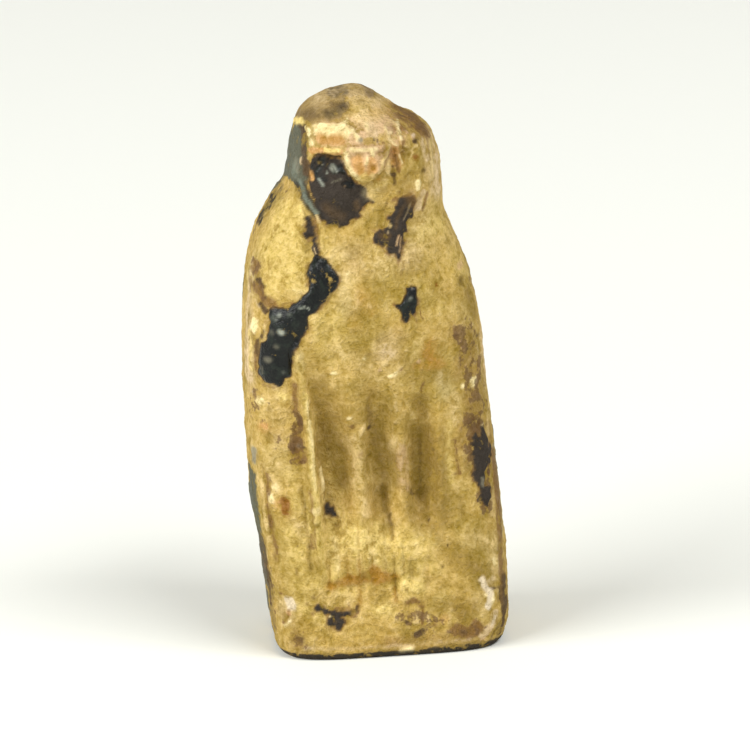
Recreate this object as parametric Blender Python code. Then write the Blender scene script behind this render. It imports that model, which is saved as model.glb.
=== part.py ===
"""Falcon amulet: a small standing falcon, moulded in one piece from glazed composition.

The bird faces -Y and stands on its own flat underside at z = 0, with the middle of its footprint at the
origin. Its folded wings wrap the body like a cloak down to a low plinth, the two legs stand in a shallow
niche between the wing edges, and a pierced lug behind the neck takes the cord.

The body is a loft: level sections whose left, right, front and back limits follow four outlines of the
figure. The carving is a depth added to the front and to the back of the loft, worked out from the named
sizes below. All sizes are in millimetres; the mesh is made in metres.
"""

import math

import bmesh
import bpy
import numpy as np

MM = 0.001

# ---- the whole figure -------------------------------------------------------------------------------
HEIGHT = 24.0          # crown above the underside
SOLE = 0.15            # the figure stands on a sole this thick, and every height below is above its top
FIGURE = HEIGHT - SOLE
FOOT_ROUND = 0.35      # rounding of the edge round the underside
CROWN_BLEND = 0.07     # share of the height over which the level sections crowd together at the crown

# Outlines as (height, distance) stations. Left and right are x, front and back are y.
LEFT_SIDE = ((0.0, -4.62), (2.0, -4.80), (4.5, -5.06), (6.5, -5.32), (11.5, -5.40), (14.2, -5.28),
             (16.4, -5.02), (18.1, -4.54), (19.2, -3.86), (20.1, -3.22), (21.9, -2.84), (22.9, -2.50),
             (23.45, -1.82), (23.85, -0.15))
RIGHT_SIDE = ((0.0, 5.14), (1.0, 5.40), (3.0, 5.42), (5.3, 5.30), (9.7, 4.98), (13.3, 4.74), (15.5, 4.44),
              (16.8, 4.06), (17.8, 3.66), (18.8, 3.38), (20.5, 3.36), (21.8, 3.04), (22.4, 2.50),
              (22.8, 1.70), (23.4, 0.86), (23.85, -0.15))
FRONT_SIDE = ((0.0, -4.10), (2.5, -4.18), (8.0, -4.00), (11.0, -4.00), (14.0, -4.14), (16.0, -4.00),
              (17.6, -3.68), (18.8, -3.42), (20.0, -3.40), (21.6, -3.40), (22.5, -2.92), (23.25, -1.95),
              (23.85, 0.0))
BACK_SIDE = ((0.0, 4.42), (1.9, 4.46), (2.7, 4.00), (4.0, 3.78), (8.0, 3.78), (12.0, 3.96), (14.8, 4.06),
             (16.6, 3.70), (18.4, 2.95), (20.3, 3.05), (21.8, 2.70), (23.0, 1.70), (23.85, 0.0))

# Squareness of the sections: 2 is an ellipse, and larger is a block with tighter corners.
FRONT_SQUARE = ((0.0, 4.6), (6.0, 4.4), (13.0, 4.0), (17.0, 3.2), (20.0, 2.8), (22.5, 2.5), (23.85, 2.0))
BACK_SQUARE = ((0.0, 4.6), (2.0, 4.4), (3.6, 2.8), (12.0, 2.6), (18.0, 2.4), (23.85, 2.0))
WIDEST_AT = ((0.0, 0.2), (10.0, 0.3), (20.0, 0.2), (23.85, 0.1))   # y of the widest place of a section

# ---- niche, legs and feet ---------------------------------------------------------------------------
NICHE_LEFT = ((2.6, -2.62), (6.0, -2.72), (9.0, -2.88), (12.5, -3.10))
NICHE_RIGHT = ((2.6, 2.10), (4.8, 2.35), (8.0, 2.70), (12.5, 2.50))
NICHE_DEPTH = ((2.5, 0.0), (3.6, 0.05), (4.8, 0.20), (5.8, 0.56), (7.2, 0.96), (8.8, 0.94), (10.2, 0.66),
               (11.6, 0.28), (13.4, 0.0))
NICHE_WALL = 0.40      # width over which the left wall falls to the niche floor
NICHE_SLOPE = 1.00     # the same on the right, where the edge is worn soft

LEFT_LEG = ((2.5, -1.42), (4.2, -1.36), (5.4, -1.16), (6.8, -0.88), (8.2, -0.84), (10.0, -0.98),
            (12.4, -1.20))
RIGHT_LEG = ((2.5, 1.15), (4.2, 1.10), (5.4, 1.00), (6.8, 0.90), (8.2, 0.86), (10.0, 0.92), (12.4, 1.05))
LEG_HALF = ((2.5, 1.50), (4.2, 1.42), (5.4, 1.12), (6.6, 0.82), (8.4, 0.76), (10.0, 0.98), (12.4, 1.40))
LEG_HEIGHT = ((2.5, 0.0), (3.2, 0.14), (4.4, 0.34), (5.6, 0.56), (7.2, 0.78), (8.8, 0.76), (10.2, 0.60),
              (11.4, 0.34), (13.2, 0.0))
TOE_LINES = (-2.05, -1.50, -0.95, 0.36, 1.10, 1.75)   # x of the grooves between the toes
TOE_SPAN = (2.6, 4.5)
TOE_DEPTH = 0.10
TOE_HALF = 0.26

# ---- wing edges on the breast -----------------------------------------------------------------------
# Grooves and ridges are (height, x) stations that climb. The left groove runs from the niche up round the
# breast to the neck, and the raised edge of the same wing stands below it.
WING_GROOVE = ((12.4, -3.42), (13.8, -3.30), (15.1, -2.75), (16.4, -2.10), (17.7, -2.38), (19.2, -2.45))
WING_GROOVE_HALF = 0.50
WING_GROOVE_DEPTH = 0.26
WING_EDGE = ((3.4, -2.70), (6.1, -2.87), (9.0, -3.03), (11.3, -3.14), (13.6, -3.32))
WING_EDGE_HALF = 0.36
WING_EDGE_HEIGHT = 0.22
WING_TURN = 0.61       # how far outside the raised edge the wing is sunk
WING_TURN_HALF = 0.50
WING_TURN_DEPTH = 0.11
RIGHT_WING = ((11.8, 2.80), (14.0, 3.10), (16.4, 3.05), (18.6, 2.55))
RIGHT_WING_HALF = 0.62
RIGHT_WING_DEPTH = 0.11
BREAST = (-0.15, 14.6, 2.9, 3.4, 0.14)   # x, height, half width, half height, bulge

# ---- head -------------------------------------------------------------------------------------------
BEAK_X = -0.07
BEAK_TOP = 21.95
BEAK_TIP = 20.36
BEAK_HALF = 1.10
BEAK_HEIGHT = 0.68
BROW_Z = 21.66         # lower edge of the brow, which overhangs the eyes
BROW_HALF_WIDTH = 2.30
BROW_HEIGHT = 0.18
EYES = ((-1.50, 21.05), (1.55, 21.30))
EYE_HALF = 0.62
EYE_DEPTH = 0.26
CHEEKS = ((-1.25, 19.75), (1.35, 19.75))
CHEEK_HALF = (0.95, 1.05)
CHEEK_HEIGHT = 0.20
HOOD_LEFT = ((19.1, -2.36), (20.2, -2.56), (21.4, -2.60), (22.5, -2.40))
HOOD_RIGHT = ((19.0, 2.05), (20.2, 2.42), (21.2, 2.50), (22.2, 2.25))
HOOD_HALF = 0.28
HOOD_DEPTH = 0.15

# ---- back: folded wings, tail, nape and lug ---------------------------------------------------------
WING_SEAM = ((8.0, 0.0), (16.4, -0.1))
TAIL_EDGES = (((2.6, -2.0), (5.6, -1.6), (8.4, -0.3), (10.4, 0.0)),
              ((2.6, 2.0), (5.6, 1.6), (8.4, 0.3), (10.4, 0.0)))
BACK_GROOVE_HALF = 0.80
BACK_GROOVE_DEPTH = 0.34
LUG_X = -0.15
LUG_Y = 3.36
LUG_Z = 18.35
LUG_RADIUS = 1.08
LUG_HALF = 1.10
LUG_ROUND = 0.34
BORE_RADIUS = 0.50
BORE_Y = 3.52

# ---- mesh -------------------------------------------------------------------------------------------
RINGS = 72             # level sections above the rounded foot
FOOT_RINGS = 3
COLUMNS = 62
FRONT_DENSITY = 2.5    # how much closer the columns stand on the front than behind
TRACE = 900            # points that trace one section before the columns are spread along it


def through(stations, at):
    """Smooth curve through (place, value) stations: cubic pieces whose tangent at a station is the harmonic
    mean of the slopes on both sides, and level where those slopes change sign, so it never overshoots."""
    places, values = np.array(stations, dtype=float).T
    steps = np.diff(places)
    slopes = np.diff(values) / steps
    tangents = np.concatenate((slopes[:1], np.zeros(len(slopes) - 1), slopes[-1:]))
    before, after = slopes[:-1], slopes[1:]
    same_way = before * after > 0
    tangents[1:-1][same_way] = 2 * before[same_way] * after[same_way] / (before + after)[same_way]
    piece = np.clip(np.searchsorted(places, at, side="right") - 1, 0, len(steps) - 1)
    t = np.clip((at - places[piece]) / steps[piece], 0, 1)
    start, end = values[piece], values[piece + 1]
    leave, arrive = tangents[piece] * steps[piece], tangents[piece + 1] * steps[piece]
    return (start * (1 + 2 * t) * (1 - t) ** 2 + leave * t * (1 - t) ** 2
            + end * t * t * (3 - 2 * t) - arrive * t * t * (1 - t))


def outline(stations, heights):
    """An outline of the figure at some heights. The curve runs over the square root of the distance below
    the crown, in which a round crown is a straight line, so the sections close in a dome."""
    below = [(math.sqrt(1 - height / FIGURE), value) for height, value in reversed(stations)]
    return through(below, np.sqrt(np.clip(1 - heights / FIGURE, 0, 1)))


def ease(low, high, value):
    """0 below low, 1 above high, and a smooth S between."""
    t = np.clip((value - low) / (high - low), 0, 1)
    return t * t * (3 - 2 * t)


def hump(distance):
    """1 at distance 0, falling smoothly to 0 at distance 1."""
    return np.clip(1 - distance * distance, 0, None) ** 2


def stroke(x, z, stations, half):
    """A rounded ridge of height 1 whose middle climbs through (height, x) stations. It is half wide on each
    side and fades out round both ends."""
    low, high = stations[0][0], stations[-1][0]
    fade = ease(low - half, low + half, z) * (1 - ease(high - half, high + half, z))
    return fade * hump((x - through(stations, z)) / half)


def niche_and_legs(x, z):
    """The niche is a floor sunk between the wing edges; each leg is a rounded column standing on that
    floor, which spreads into a foot, and the toes are parted by short grooves."""
    left, right = through(NICHE_LEFT, z), through(NICHE_RIGHT, z)
    inside = ease(0, NICHE_WALL, x - left) * ease(0, NICHE_SLOPE, right - x)
    depth = -through(NICHE_DEPTH, z) * inside
    half, height = through(LEG_HALF, z), through(LEG_HEIGHT, z)
    for leg in (LEFT_LEG, RIGHT_LEG):
        depth = depth + height * hump((x - through(leg, z)) / half)
    low, high = TOE_SPAN
    toes = ease(low, low + 0.4, z) * (1 - ease(high - 1.0, high, z))
    for toe in TOE_LINES:
        depth = depth - TOE_DEPTH * toes * hump((x - toe) / TOE_HALF)
    return depth


def wings_and_breast(x, z):
    """The groove that parts the left wing from the breast, the raised wing edge below it, the worn edge of
    the right wing, and the swell of the breast."""
    breast_x, breast_z, half_width, half_height, bulge = BREAST
    depth = bulge * hump(np.hypot((x - breast_x) / half_width, (z - breast_z) / half_height))
    depth = depth - WING_GROOVE_DEPTH * stroke(x, z, WING_GROOVE, WING_GROOVE_HALF)
    depth = depth + WING_EDGE_HEIGHT * stroke(x, z, WING_EDGE, WING_EDGE_HALF)
    depth = depth - WING_TURN_DEPTH * stroke(x + WING_TURN, z, WING_EDGE[2:], WING_TURN_HALF)
    return depth - RIGHT_WING_DEPTH * stroke(x, z, RIGHT_WING, RIGHT_WING_HALF)


def face(x, z):
    """Sunk eyes under an overhanging brow, full cheeks, a short beak between them that stands out furthest
    just above its rounded tip, and the groove that frames the face like the edge of a hood."""
    depth = np.zeros(np.shape(x))
    for eye_x, eye_z in EYES:
        socket = hump(np.hypot((x - eye_x) / (1.5 * EYE_HALF), (z - eye_z) / EYE_HALF))
        depth = depth - EYE_DEPTH * socket
    for cheek_x, cheek_z in CHEEKS:
        cheek = hump(np.hypot((x - cheek_x) / CHEEK_HALF[0], (z - cheek_z) / CHEEK_HALF[1]))
        depth = depth + CHEEK_HEIGHT * cheek
    across = 1 - ease(0.8 * BROW_HALF_WIDTH, 1.1 * BROW_HALF_WIDTH, np.abs(x))
    edge = BROW_Z - 0.16 * np.abs(x / BROW_HALF_WIDTH) ** 2
    brow = ease(edge - 0.22, edge + 0.18, z) * (1 - ease(edge + 0.3, edge + 1.3, z))
    depth = depth + BROW_HEIGHT * brow * across
    rise = (z - BEAK_TIP) / (BEAK_TOP - BEAK_TIP)
    edge_share = np.hypot((x - BEAK_X) / BEAK_HALF, np.minimum(rise - 1, 0))
    dome = np.clip(1 - edge_share ** 3, 0, 1) ** 0.6
    hooked = (1 - 0.6 * ease(0.25, 1.2, rise)) * (1 - ease(1.0, 1.7, rise))
    depth = depth + BEAK_HEIGHT * dome * hooked
    for hood in (HOOD_LEFT, HOOD_RIGHT):
        depth = depth - HOOD_DEPTH * stroke(x, z, hood, HOOD_HALF)
    return depth


def front_carving(x, z):
    """Height of the carving above the plain front; hollows are negative."""
    return niche_and_legs(x, z) + wings_and_breast(x, z) + face(x, z)


def back_carving(x, z):
    """The seam between the folded wings and the two edges of the tail below it."""
    grooves = stroke(x, z, WING_SEAM, BACK_GROOVE_HALF)
    for edge in TAIL_EDGES:
        grooves = np.maximum(grooves, stroke(x, z, edge, BACK_GROOVE_HALF))
    return -BACK_GROOVE_DEPTH * grooves


def ring_heights():
    """Heights of the level sections: a quarter circle of steps round the foot edge, then even steps that
    crowd together towards the crown as the difference of a hyperbola from its axis."""
    turn = np.linspace(0, np.pi / 2, FOOT_RINGS, endpoint=False)
    foot = FOOT_ROUND * (1 - np.cos(turn))
    left = np.linspace(1, 0, RINGS + 1)
    reach = np.hypot(left, CROWN_BLEND) - CROWN_BLEND
    return np.concatenate((foot, HEIGHT - (HEIGHT - FOOT_ROUND) * reach / reach[0]))


def body_points():
    """Points of the body as an array of rings by columns by (x, y, z). A ring is a superellipse whose front
    and back halves have their own depth and squareness, drawn in at the foot to round its edge. The
    columns are spread along it by length, closer together on the front."""
    rings = ring_heights()
    heights = np.clip(rings - SOLE, 0, None)
    below_round = np.clip(FOOT_ROUND - rings, 0, None)
    tuck = FOOT_ROUND - np.sqrt(FOOT_ROUND ** 2 - below_round ** 2)
    left = outline(LEFT_SIDE, heights) + tuck
    right = outline(RIGHT_SIDE, heights) - tuck
    front = outline(FRONT_SIDE, heights) + tuck
    back = outline(BACK_SIDE, heights) - tuck
    widest = through(WIDEST_AT, heights)
    turn = np.linspace(0.5 * np.pi, 2.5 * np.pi, TRACE + 1)
    cosine, sine = np.cos(turn), np.sin(turn)
    ahead = sine < 0
    front_square, back_square = through(FRONT_SQUARE, heights), through(BACK_SQUARE, heights)
    power = 2 / np.where(ahead, front_square[:, None], back_square[:, None])
    depth = np.where(ahead, (widest - front)[:, None], (back - widest)[:, None])
    x = ((left + right)[:, None] + (right - left)[:, None] * np.sign(cosine) * np.abs(cosine) ** power) / 2
    y = widest[:, None] + depth * np.sign(sine) * np.abs(sine) ** power
    step = np.hypot(np.diff(x, axis=1), np.diff(y, axis=1))
    facing = -(y - widest[:, None])[:, :-1] / np.maximum((widest - front)[:, None], 1e-6)
    step = step * (1 + (FRONT_DENSITY - 1) * ease(0.3, 0.9, facing)) + 1e-9
    run = np.concatenate((np.zeros((len(heights), 1)), np.cumsum(step, axis=1)), axis=1)
    share = np.linspace(0, 1, COLUMNS, endpoint=False)
    spread_x = np.array([np.interp(share * r[-1], r, values) for r, values in zip(run, x)])
    spread_y = np.array([np.interp(share * r[-1], r, values) for r, values in zip(run, y)])
    z = np.repeat(heights[:, None], COLUMNS, axis=1)
    ahead_share = (widest[:, None] - spread_y) / np.maximum((widest - front)[:, None], 1e-6)
    behind_share = (spread_y - widest[:, None]) / np.maximum((back - widest)[:, None], 1e-6)
    spread_y = spread_y - front_carving(spread_x, z) * ease(0.50, 0.85, ahead_share)
    spread_y = spread_y + back_carving(spread_x, z) * ease(0.50, 0.85, behind_share)
    return np.stack((spread_x, spread_y, np.repeat(rings[:, None], COLUMNS, axis=1)), axis=-1)


def material(name, colour, roughness):
    """A plain Principled material; the colour is linear RGB."""
    made = bpy.data.materials.new(name)
    made.use_nodes = True
    shader = made.node_tree.nodes["Principled BSDF"]
    shader.inputs["Base Color"].default_value = (*colour, 1.0)
    shader.inputs["Roughness"].default_value = roughness
    shader.inputs["Metallic"].default_value = 0.0
    made.diffuse_color = (*colour, 1.0)
    return made


def place(name, bm):
    """Puts a bmesh in millimetres into the scene as an object in metres."""
    bmesh.ops.scale(bm, vec=(MM, MM, MM), verts=bm.verts)
    bmesh.ops.recalc_face_normals(bm, faces=bm.faces)
    mesh = bpy.data.meshes.new(name)
    bm.to_mesh(mesh)
    bm.free()
    placed = bpy.data.objects.new(name, mesh)
    bpy.context.scene.collection.objects.link(placed)
    return placed


def make_body():
    """The loft: rings joined by quads, a flat underside, and one point at the crown."""
    points = body_points()
    bm = bmesh.new()
    rings = [[bm.verts.new(point) for point in ring] for ring in points[:-1]]
    crown = bm.verts.new(points[-1].mean(axis=0))
    for lower, upper in zip(rings[:-1], rings[1:]):
        for here in range(COLUMNS):
            beyond = (here + 1) % COLUMNS
            bm.faces.new((lower[here], lower[beyond], upper[beyond], upper[here]))
    for here in range(COLUMNS):
        bm.faces.new((rings[-1][here], rings[-1][(here + 1) % COLUMNS], crown))
    bm.faces.new(list(reversed(rings[0])))
    return place("falcon_amulet", bm)


def make_drum(name, y, radius, half, rounding, sides):
    """A drum across the figure at the lug's height, its rims rounded by a bevel."""
    bm = bmesh.new()
    bmesh.ops.create_cone(bm, cap_ends=True, segments=sides, radius1=radius, radius2=radius, depth=2 * half)
    if rounding:
        rims = [edge for edge in bm.edges if abs(edge.verts[0].co.z - edge.verts[1].co.z) < 1e-6]
        bmesh.ops.bevel(bm, geom=rims, offset=rounding, segments=2, profile=0.5, affect="EDGES")
    turned = [(vert, (LUG_X + vert.co.z, y + vert.co.x, SOLE + LUG_Z + vert.co.y)) for vert in bm.verts]
    for vert, where in turned:
        vert.co = where
    drum = place(name, bm)
    drum.hide_render = True
    drum.display_type = "WIRE"
    return drum


def combine(body, other, operation):
    """A Boolean modifier that adds the other object to the body or cuts it away."""
    modifier = body.modifiers.new(other.name, "BOOLEAN")
    modifier.operation = operation
    modifier.solver = "EXACT"
    modifier.object = other


def main():
    """Empties the scene and models the amulet."""
    for old in list(bpy.data.objects):
        bpy.data.objects.remove(old, do_unlink=True)
    body = make_body()
    body.data.shade_smooth()
    body.data.materials.append(material("worn glazed composition", (0.56, 0.41, 0.16), 0.85))
    combine(body, make_drum("lug_form", LUG_Y, LUG_RADIUS, LUG_HALF, LUG_ROUND, 24), "UNION")
    combine(body, make_drum("lug_bore", BORE_Y, BORE_RADIUS, 3 * LUG_HALF, 0.0, 16), "DIFFERENCE")


main()
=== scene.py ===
"""Looks of the falcon amulet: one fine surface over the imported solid, the patina on it, and the studio.

The surface is worked out from the same outlines and carving as the solid, on a finer grid, and then given
what the solid leaves out: the thickness of the glaze that is left, chips, pits, lumps and sandy grain. The
marks are placed in millimetres, across and up the front, or back and up on the flanks. Numbers are
millimetres where nothing else is said. Meshes and the studio are in metres.
"""

import math

import bpy
import numpy as np
from mathutils import Matrix, Vector


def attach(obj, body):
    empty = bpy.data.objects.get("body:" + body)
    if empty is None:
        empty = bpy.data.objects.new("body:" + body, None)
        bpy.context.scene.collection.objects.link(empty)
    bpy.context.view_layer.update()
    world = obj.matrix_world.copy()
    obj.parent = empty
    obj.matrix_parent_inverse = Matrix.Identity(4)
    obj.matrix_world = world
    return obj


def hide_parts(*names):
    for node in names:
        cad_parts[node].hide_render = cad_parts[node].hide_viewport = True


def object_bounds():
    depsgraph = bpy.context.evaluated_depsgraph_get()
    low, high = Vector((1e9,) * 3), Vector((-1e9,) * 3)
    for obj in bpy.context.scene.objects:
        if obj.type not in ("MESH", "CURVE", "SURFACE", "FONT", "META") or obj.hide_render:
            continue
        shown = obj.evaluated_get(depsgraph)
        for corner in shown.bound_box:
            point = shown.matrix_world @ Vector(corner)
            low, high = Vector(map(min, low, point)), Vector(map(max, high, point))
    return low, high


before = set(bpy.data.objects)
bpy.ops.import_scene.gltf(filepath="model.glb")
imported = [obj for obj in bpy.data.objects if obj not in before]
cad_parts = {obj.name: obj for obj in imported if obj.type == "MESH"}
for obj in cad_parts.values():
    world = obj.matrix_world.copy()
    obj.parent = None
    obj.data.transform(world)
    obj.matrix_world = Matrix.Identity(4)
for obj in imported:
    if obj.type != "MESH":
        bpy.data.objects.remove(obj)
CAD_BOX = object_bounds()

bl_info = {
    "name": "Falcon Amulet",
    "version": (1, 0, 0),
    "blender": (4, 5, 0),
    "location": "View3D > Sidebar > Amulet",
    "description": "Makes a worn falcon amulet in glazed composition, and a small studio round it",
    "category": "Add Mesh",
}

MM = 0.001
HEIGHT = (CAD_BOX[1][2] - CAD_BOX[0][2]) / MM

# ---- outlines of the solid, as (height, distance) stations ------------------------------------------
SOLE = 0.15            # the figure stands on a sole this thick, and heights in the lists are above its top
FIGURE = HEIGHT - SOLE
FOOT_ROUND = 0.35
CROWN_BLEND = 0.07
LEFT_SIDE = ((0.0, -4.62), (2.0, -4.80), (4.5, -5.06), (6.5, -5.32), (11.5, -5.40), (14.2, -5.28),
             (16.4, -5.02), (18.1, -4.54), (19.2, -3.86), (20.1, -3.22), (21.9, -2.84), (22.9, -2.50),
             (23.45, -1.82), (23.85, -0.15))
RIGHT_SIDE = ((0.0, 5.14), (1.0, 5.40), (3.0, 5.42), (5.3, 5.30), (9.7, 4.98), (13.3, 4.74), (15.5, 4.44),
              (16.8, 4.06), (17.8, 3.66), (18.8, 3.38), (20.5, 3.36), (21.8, 3.04), (22.4, 2.50),
              (22.8, 1.70), (23.4, 0.86), (23.85, -0.15))
FRONT_SIDE = ((0.0, -4.10), (2.5, -4.18), (8.0, -4.00), (11.0, -4.00), (14.0, -4.14), (16.0, -4.00),
              (17.6, -3.68), (18.8, -3.42), (20.0, -3.40), (21.6, -3.40), (22.5, -2.92), (23.25, -1.95),
              (23.85, 0.0))
BACK_SIDE = ((0.0, 4.42), (1.9, 4.46), (2.7, 4.00), (4.0, 3.78), (8.0, 3.78), (12.0, 3.96), (14.8, 4.06),
             (16.6, 3.70), (18.4, 2.95), (20.3, 3.05), (21.8, 2.70), (23.0, 1.70), (23.85, 0.0))
FRONT_SQUARE = ((0.0, 4.6), (6.0, 4.4), (13.0, 4.0), (17.0, 3.2), (20.0, 2.8), (22.5, 2.5), (23.85, 2.0))
BACK_SQUARE = ((0.0, 4.6), (2.0, 4.4), (3.6, 2.8), (12.0, 2.6), (18.0, 2.4), (23.85, 2.0))
WIDEST_AT = ((0.0, 0.2), (10.0, 0.3), (20.0, 0.2), (23.85, 0.1))

# ---- carving of the solid ---------------------------------------------------------------------------
NICHE_LEFT = ((2.6, -2.62), (6.0, -2.72), (9.0, -2.88), (12.5, -3.10))
NICHE_RIGHT = ((2.6, 2.10), (4.8, 2.35), (8.0, 2.70), (12.5, 2.50))
NICHE_DEPTH = ((2.5, 0.0), (3.6, 0.05), (4.8, 0.20), (5.8, 0.56), (7.2, 0.96), (8.8, 0.94), (10.2, 0.66),
               (11.6, 0.28), (13.4, 0.0))
NICHE_WALL = 0.40
NICHE_SLOPE = 1.00
LEFT_LEG = ((2.5, -1.42), (4.2, -1.36), (5.4, -1.16), (6.8, -0.88), (8.2, -0.84), (10.0, -0.98),
            (12.4, -1.20))
RIGHT_LEG = ((2.5, 1.15), (4.2, 1.10), (5.4, 1.00), (6.8, 0.90), (8.2, 0.86), (10.0, 0.92), (12.4, 1.05))
LEG_HALF = ((2.5, 1.50), (4.2, 1.42), (5.4, 1.12), (6.6, 0.82), (8.4, 0.76), (10.0, 0.98), (12.4, 1.40))
LEG_HEIGHT = ((2.5, 0.0), (3.2, 0.14), (4.4, 0.34), (5.6, 0.56), (7.2, 0.78), (8.8, 0.76), (10.2, 0.60),
              (11.4, 0.34), (13.2, 0.0))
TOE_LINES = (-2.05, -1.50, -0.95, 0.36, 1.10, 1.75)
TOE_SPAN = (2.6, 4.5)
TOE_FADES = (0.4, 1.0)          # over how much of its lower and upper end a toe groove fades
TOE_DEPTH = 0.12
TOE_HALF = 0.15
WING_GROOVE = ((12.4, -3.42), (13.8, -3.30), (15.1, -2.75), (16.4, -2.10), (17.7, -2.38), (19.2, -2.45))
WING_GROOVE_HALF = 0.50
WING_GROOVE_DEPTH = 0.26
WING_EDGE = ((3.4, -2.70), (6.1, -2.87), (9.0, -3.03), (11.3, -3.14), (13.6, -3.32))
WING_EDGE_HALF = 0.36
WING_EDGE_HEIGHT = 0.22
WING_TURN = 0.61
WING_TURN_HALF = 0.50
WING_TURN_DEPTH = 0.11
RIGHT_WING = ((11.8, 2.80), (14.0, 3.10), (16.4, 3.05), (18.6, 2.55))
RIGHT_WING_HALF = 0.62
RIGHT_WING_DEPTH = 0.11
BREAST = (-0.15, 14.6, 2.9, 3.4, 0.14)
BEAK_X = -0.07
BEAK_TOP = 21.95
BEAK_TIP = 20.36
BEAK_HALF = 1.10
BEAK_HEIGHT = 0.68
BROW_Z = 21.66
BROW_HALF_WIDTH = 2.30
BROW_ARCH = 0.16                # how much lower the brow is at its ends
BROW_EDGE = (-0.22, 0.18)       # where it rises, from its edge, and where it sinks into the forehead
BROW_FADE = (0.3, 1.3)
BROW_HEIGHT = 0.18
EYES = ((-1.50, 21.05), (1.55, 21.30))
EYE_HALF = 0.62
EYE_LENGTH = 1.5                # width of an eye against its height
EYE_DEPTH = 0.26
CHEEKS = ((-1.25, 19.75), (1.35, 19.75))
CHEEK_HALF = (0.95, 1.05)
CHEEK_HEIGHT = 0.20
HOOD_LEFT = ((19.1, -2.36), (20.2, -2.56), (21.4, -2.60), (22.5, -2.40))
HOOD_RIGHT = ((19.0, 2.05), (20.2, 2.42), (21.2, 2.50), (22.2, 2.25))
HOOD_HALF = 0.28
HOOD_DEPTH = 0.15
WING_SEAM = ((8.0, 0.0), (16.4, -0.1))
TAIL_EDGES = (((2.6, -2.0), (5.6, -1.6), (8.4, -0.3), (10.4, 0.0)),
              ((2.6, 2.0), (5.6, 1.6), (8.4, 0.3), (10.4, 0.0)))
BACK_GROOVE_HALF = 0.80
BACK_GROOVE_DEPTH = 0.34
LUG_X = -0.15
LUG_Y = 3.36
LUG_Z = 18.35
LUG_RADIUS = 1.08
LUG_HALF = 1.10
LUG_ROUND = 0.34
BORE_RADIUS = 0.50
BORE_Y = 3.52
CARVING_FADE = (0.50, 0.85)     # share of the way to the front, or the back, over which its carving fades in
RELIEF_FADE = (0.0, 0.30)       # height above the sole over which the wear fades in
DRUM_RIM_STEPS = 12             # mesh steps of the lug and its bore: rim, flat end, side, and turn
DRUM_END_STEPS = 8
DRUM_SIDE_STEPS = 24
DRUM_TURN_STEPS = 96

# ---- finer carving: (stations, half width, height) of ridges, and of grooves where height is negative -
FINE_LINES = (
    # the left wing's edge, and the groove above it
    (((4.4, -2.80), (6.1, -2.90), (9.0, -3.08), (11.3, -3.22), (13.6, -3.34)), 0.15, 0.10),
    (((6.7, -2.42), (7.6, -2.45), (8.4, -2.55)), 0.10, 0.16),
    (((3.8, -3.12), (6.0, -3.20), (7.4, -3.34)), 0.14, -0.10),
    (((17.0, -2.02), (17.8, -2.06), (18.9, -2.20)), 0.14, 0.12),
    (((14.4, -3.05), (15.1, -2.75), (16.4, -2.10), (17.1, -2.26)), 0.52, 0.25),
    # the face
    (((19.1, -2.20), (19.5, -2.50), (20.3, -2.86)), 0.12, 0.10),
    (((20.6, 1.04), (21.2, 1.11), (21.7, 1.13)), 0.15, -0.20),
    (((19.2, 1.90), (19.8, 2.15), (20.5, 2.28)), 0.17, 0.10),
    # both flanks
    (((3.4, -4.62), (5.2, -4.68), (7.2, -4.76), (8.4, -4.90)), 0.13, -0.13),
    (((4.6, -4.90), (7.0, -5.02), (8.6, -5.05)), 0.13, 0.08),
    (((7.6, 3.22), (8.4, 3.24), (9.2, 3.18)), 0.10, -0.05),
    # the legs and the floor beside them
    (((6.2, 2.35), (8.0, 2.35), (9.8, 2.20)), 0.60, 0.28),
    (((6.0, 0.95), (8.2, 1.00), (9.8, 1.00)), 0.60, 0.08),
    (((6.9, 1.70), (8.4, 1.73), (10.4, 1.70)), 0.32, 0.20),
    (((6.8, 1.66), (8.4, 1.73), (9.8, 1.74)), 0.11, -0.07),
    (((4.6, 0.30), (5.8, 0.22), (7.2, 0.10)), 0.16, -0.12),
    (((7.0, 0.02), (8.6, 0.00), (10.8, -0.15)), 0.32, 0.10),
    (((7.2, -1.60), (8.6, -1.70), (10.2, -1.9)), 0.40, 0.08),
    # the gaps between the toes
    (((3.1, -2.42), (4.4, -2.40)), 0.11, -0.09),
    (((3.3, -1.62), (5.0, -1.66)), 0.10, -0.09), (((2.5, -1.12), (5.4, -1.10)), 0.09, -0.07),
    (((3.1, -0.55), (4.7, -0.58)), 0.09, -0.07), (((3.5, 0.02), (5.5, 0.04)), 0.09, -0.06),
    (((2.4, 0.43), (5.3, 0.40)), 0.09, -0.09), (((3.6, 0.77), (4.9, 0.74)), 0.08, -0.06),
)
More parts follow.
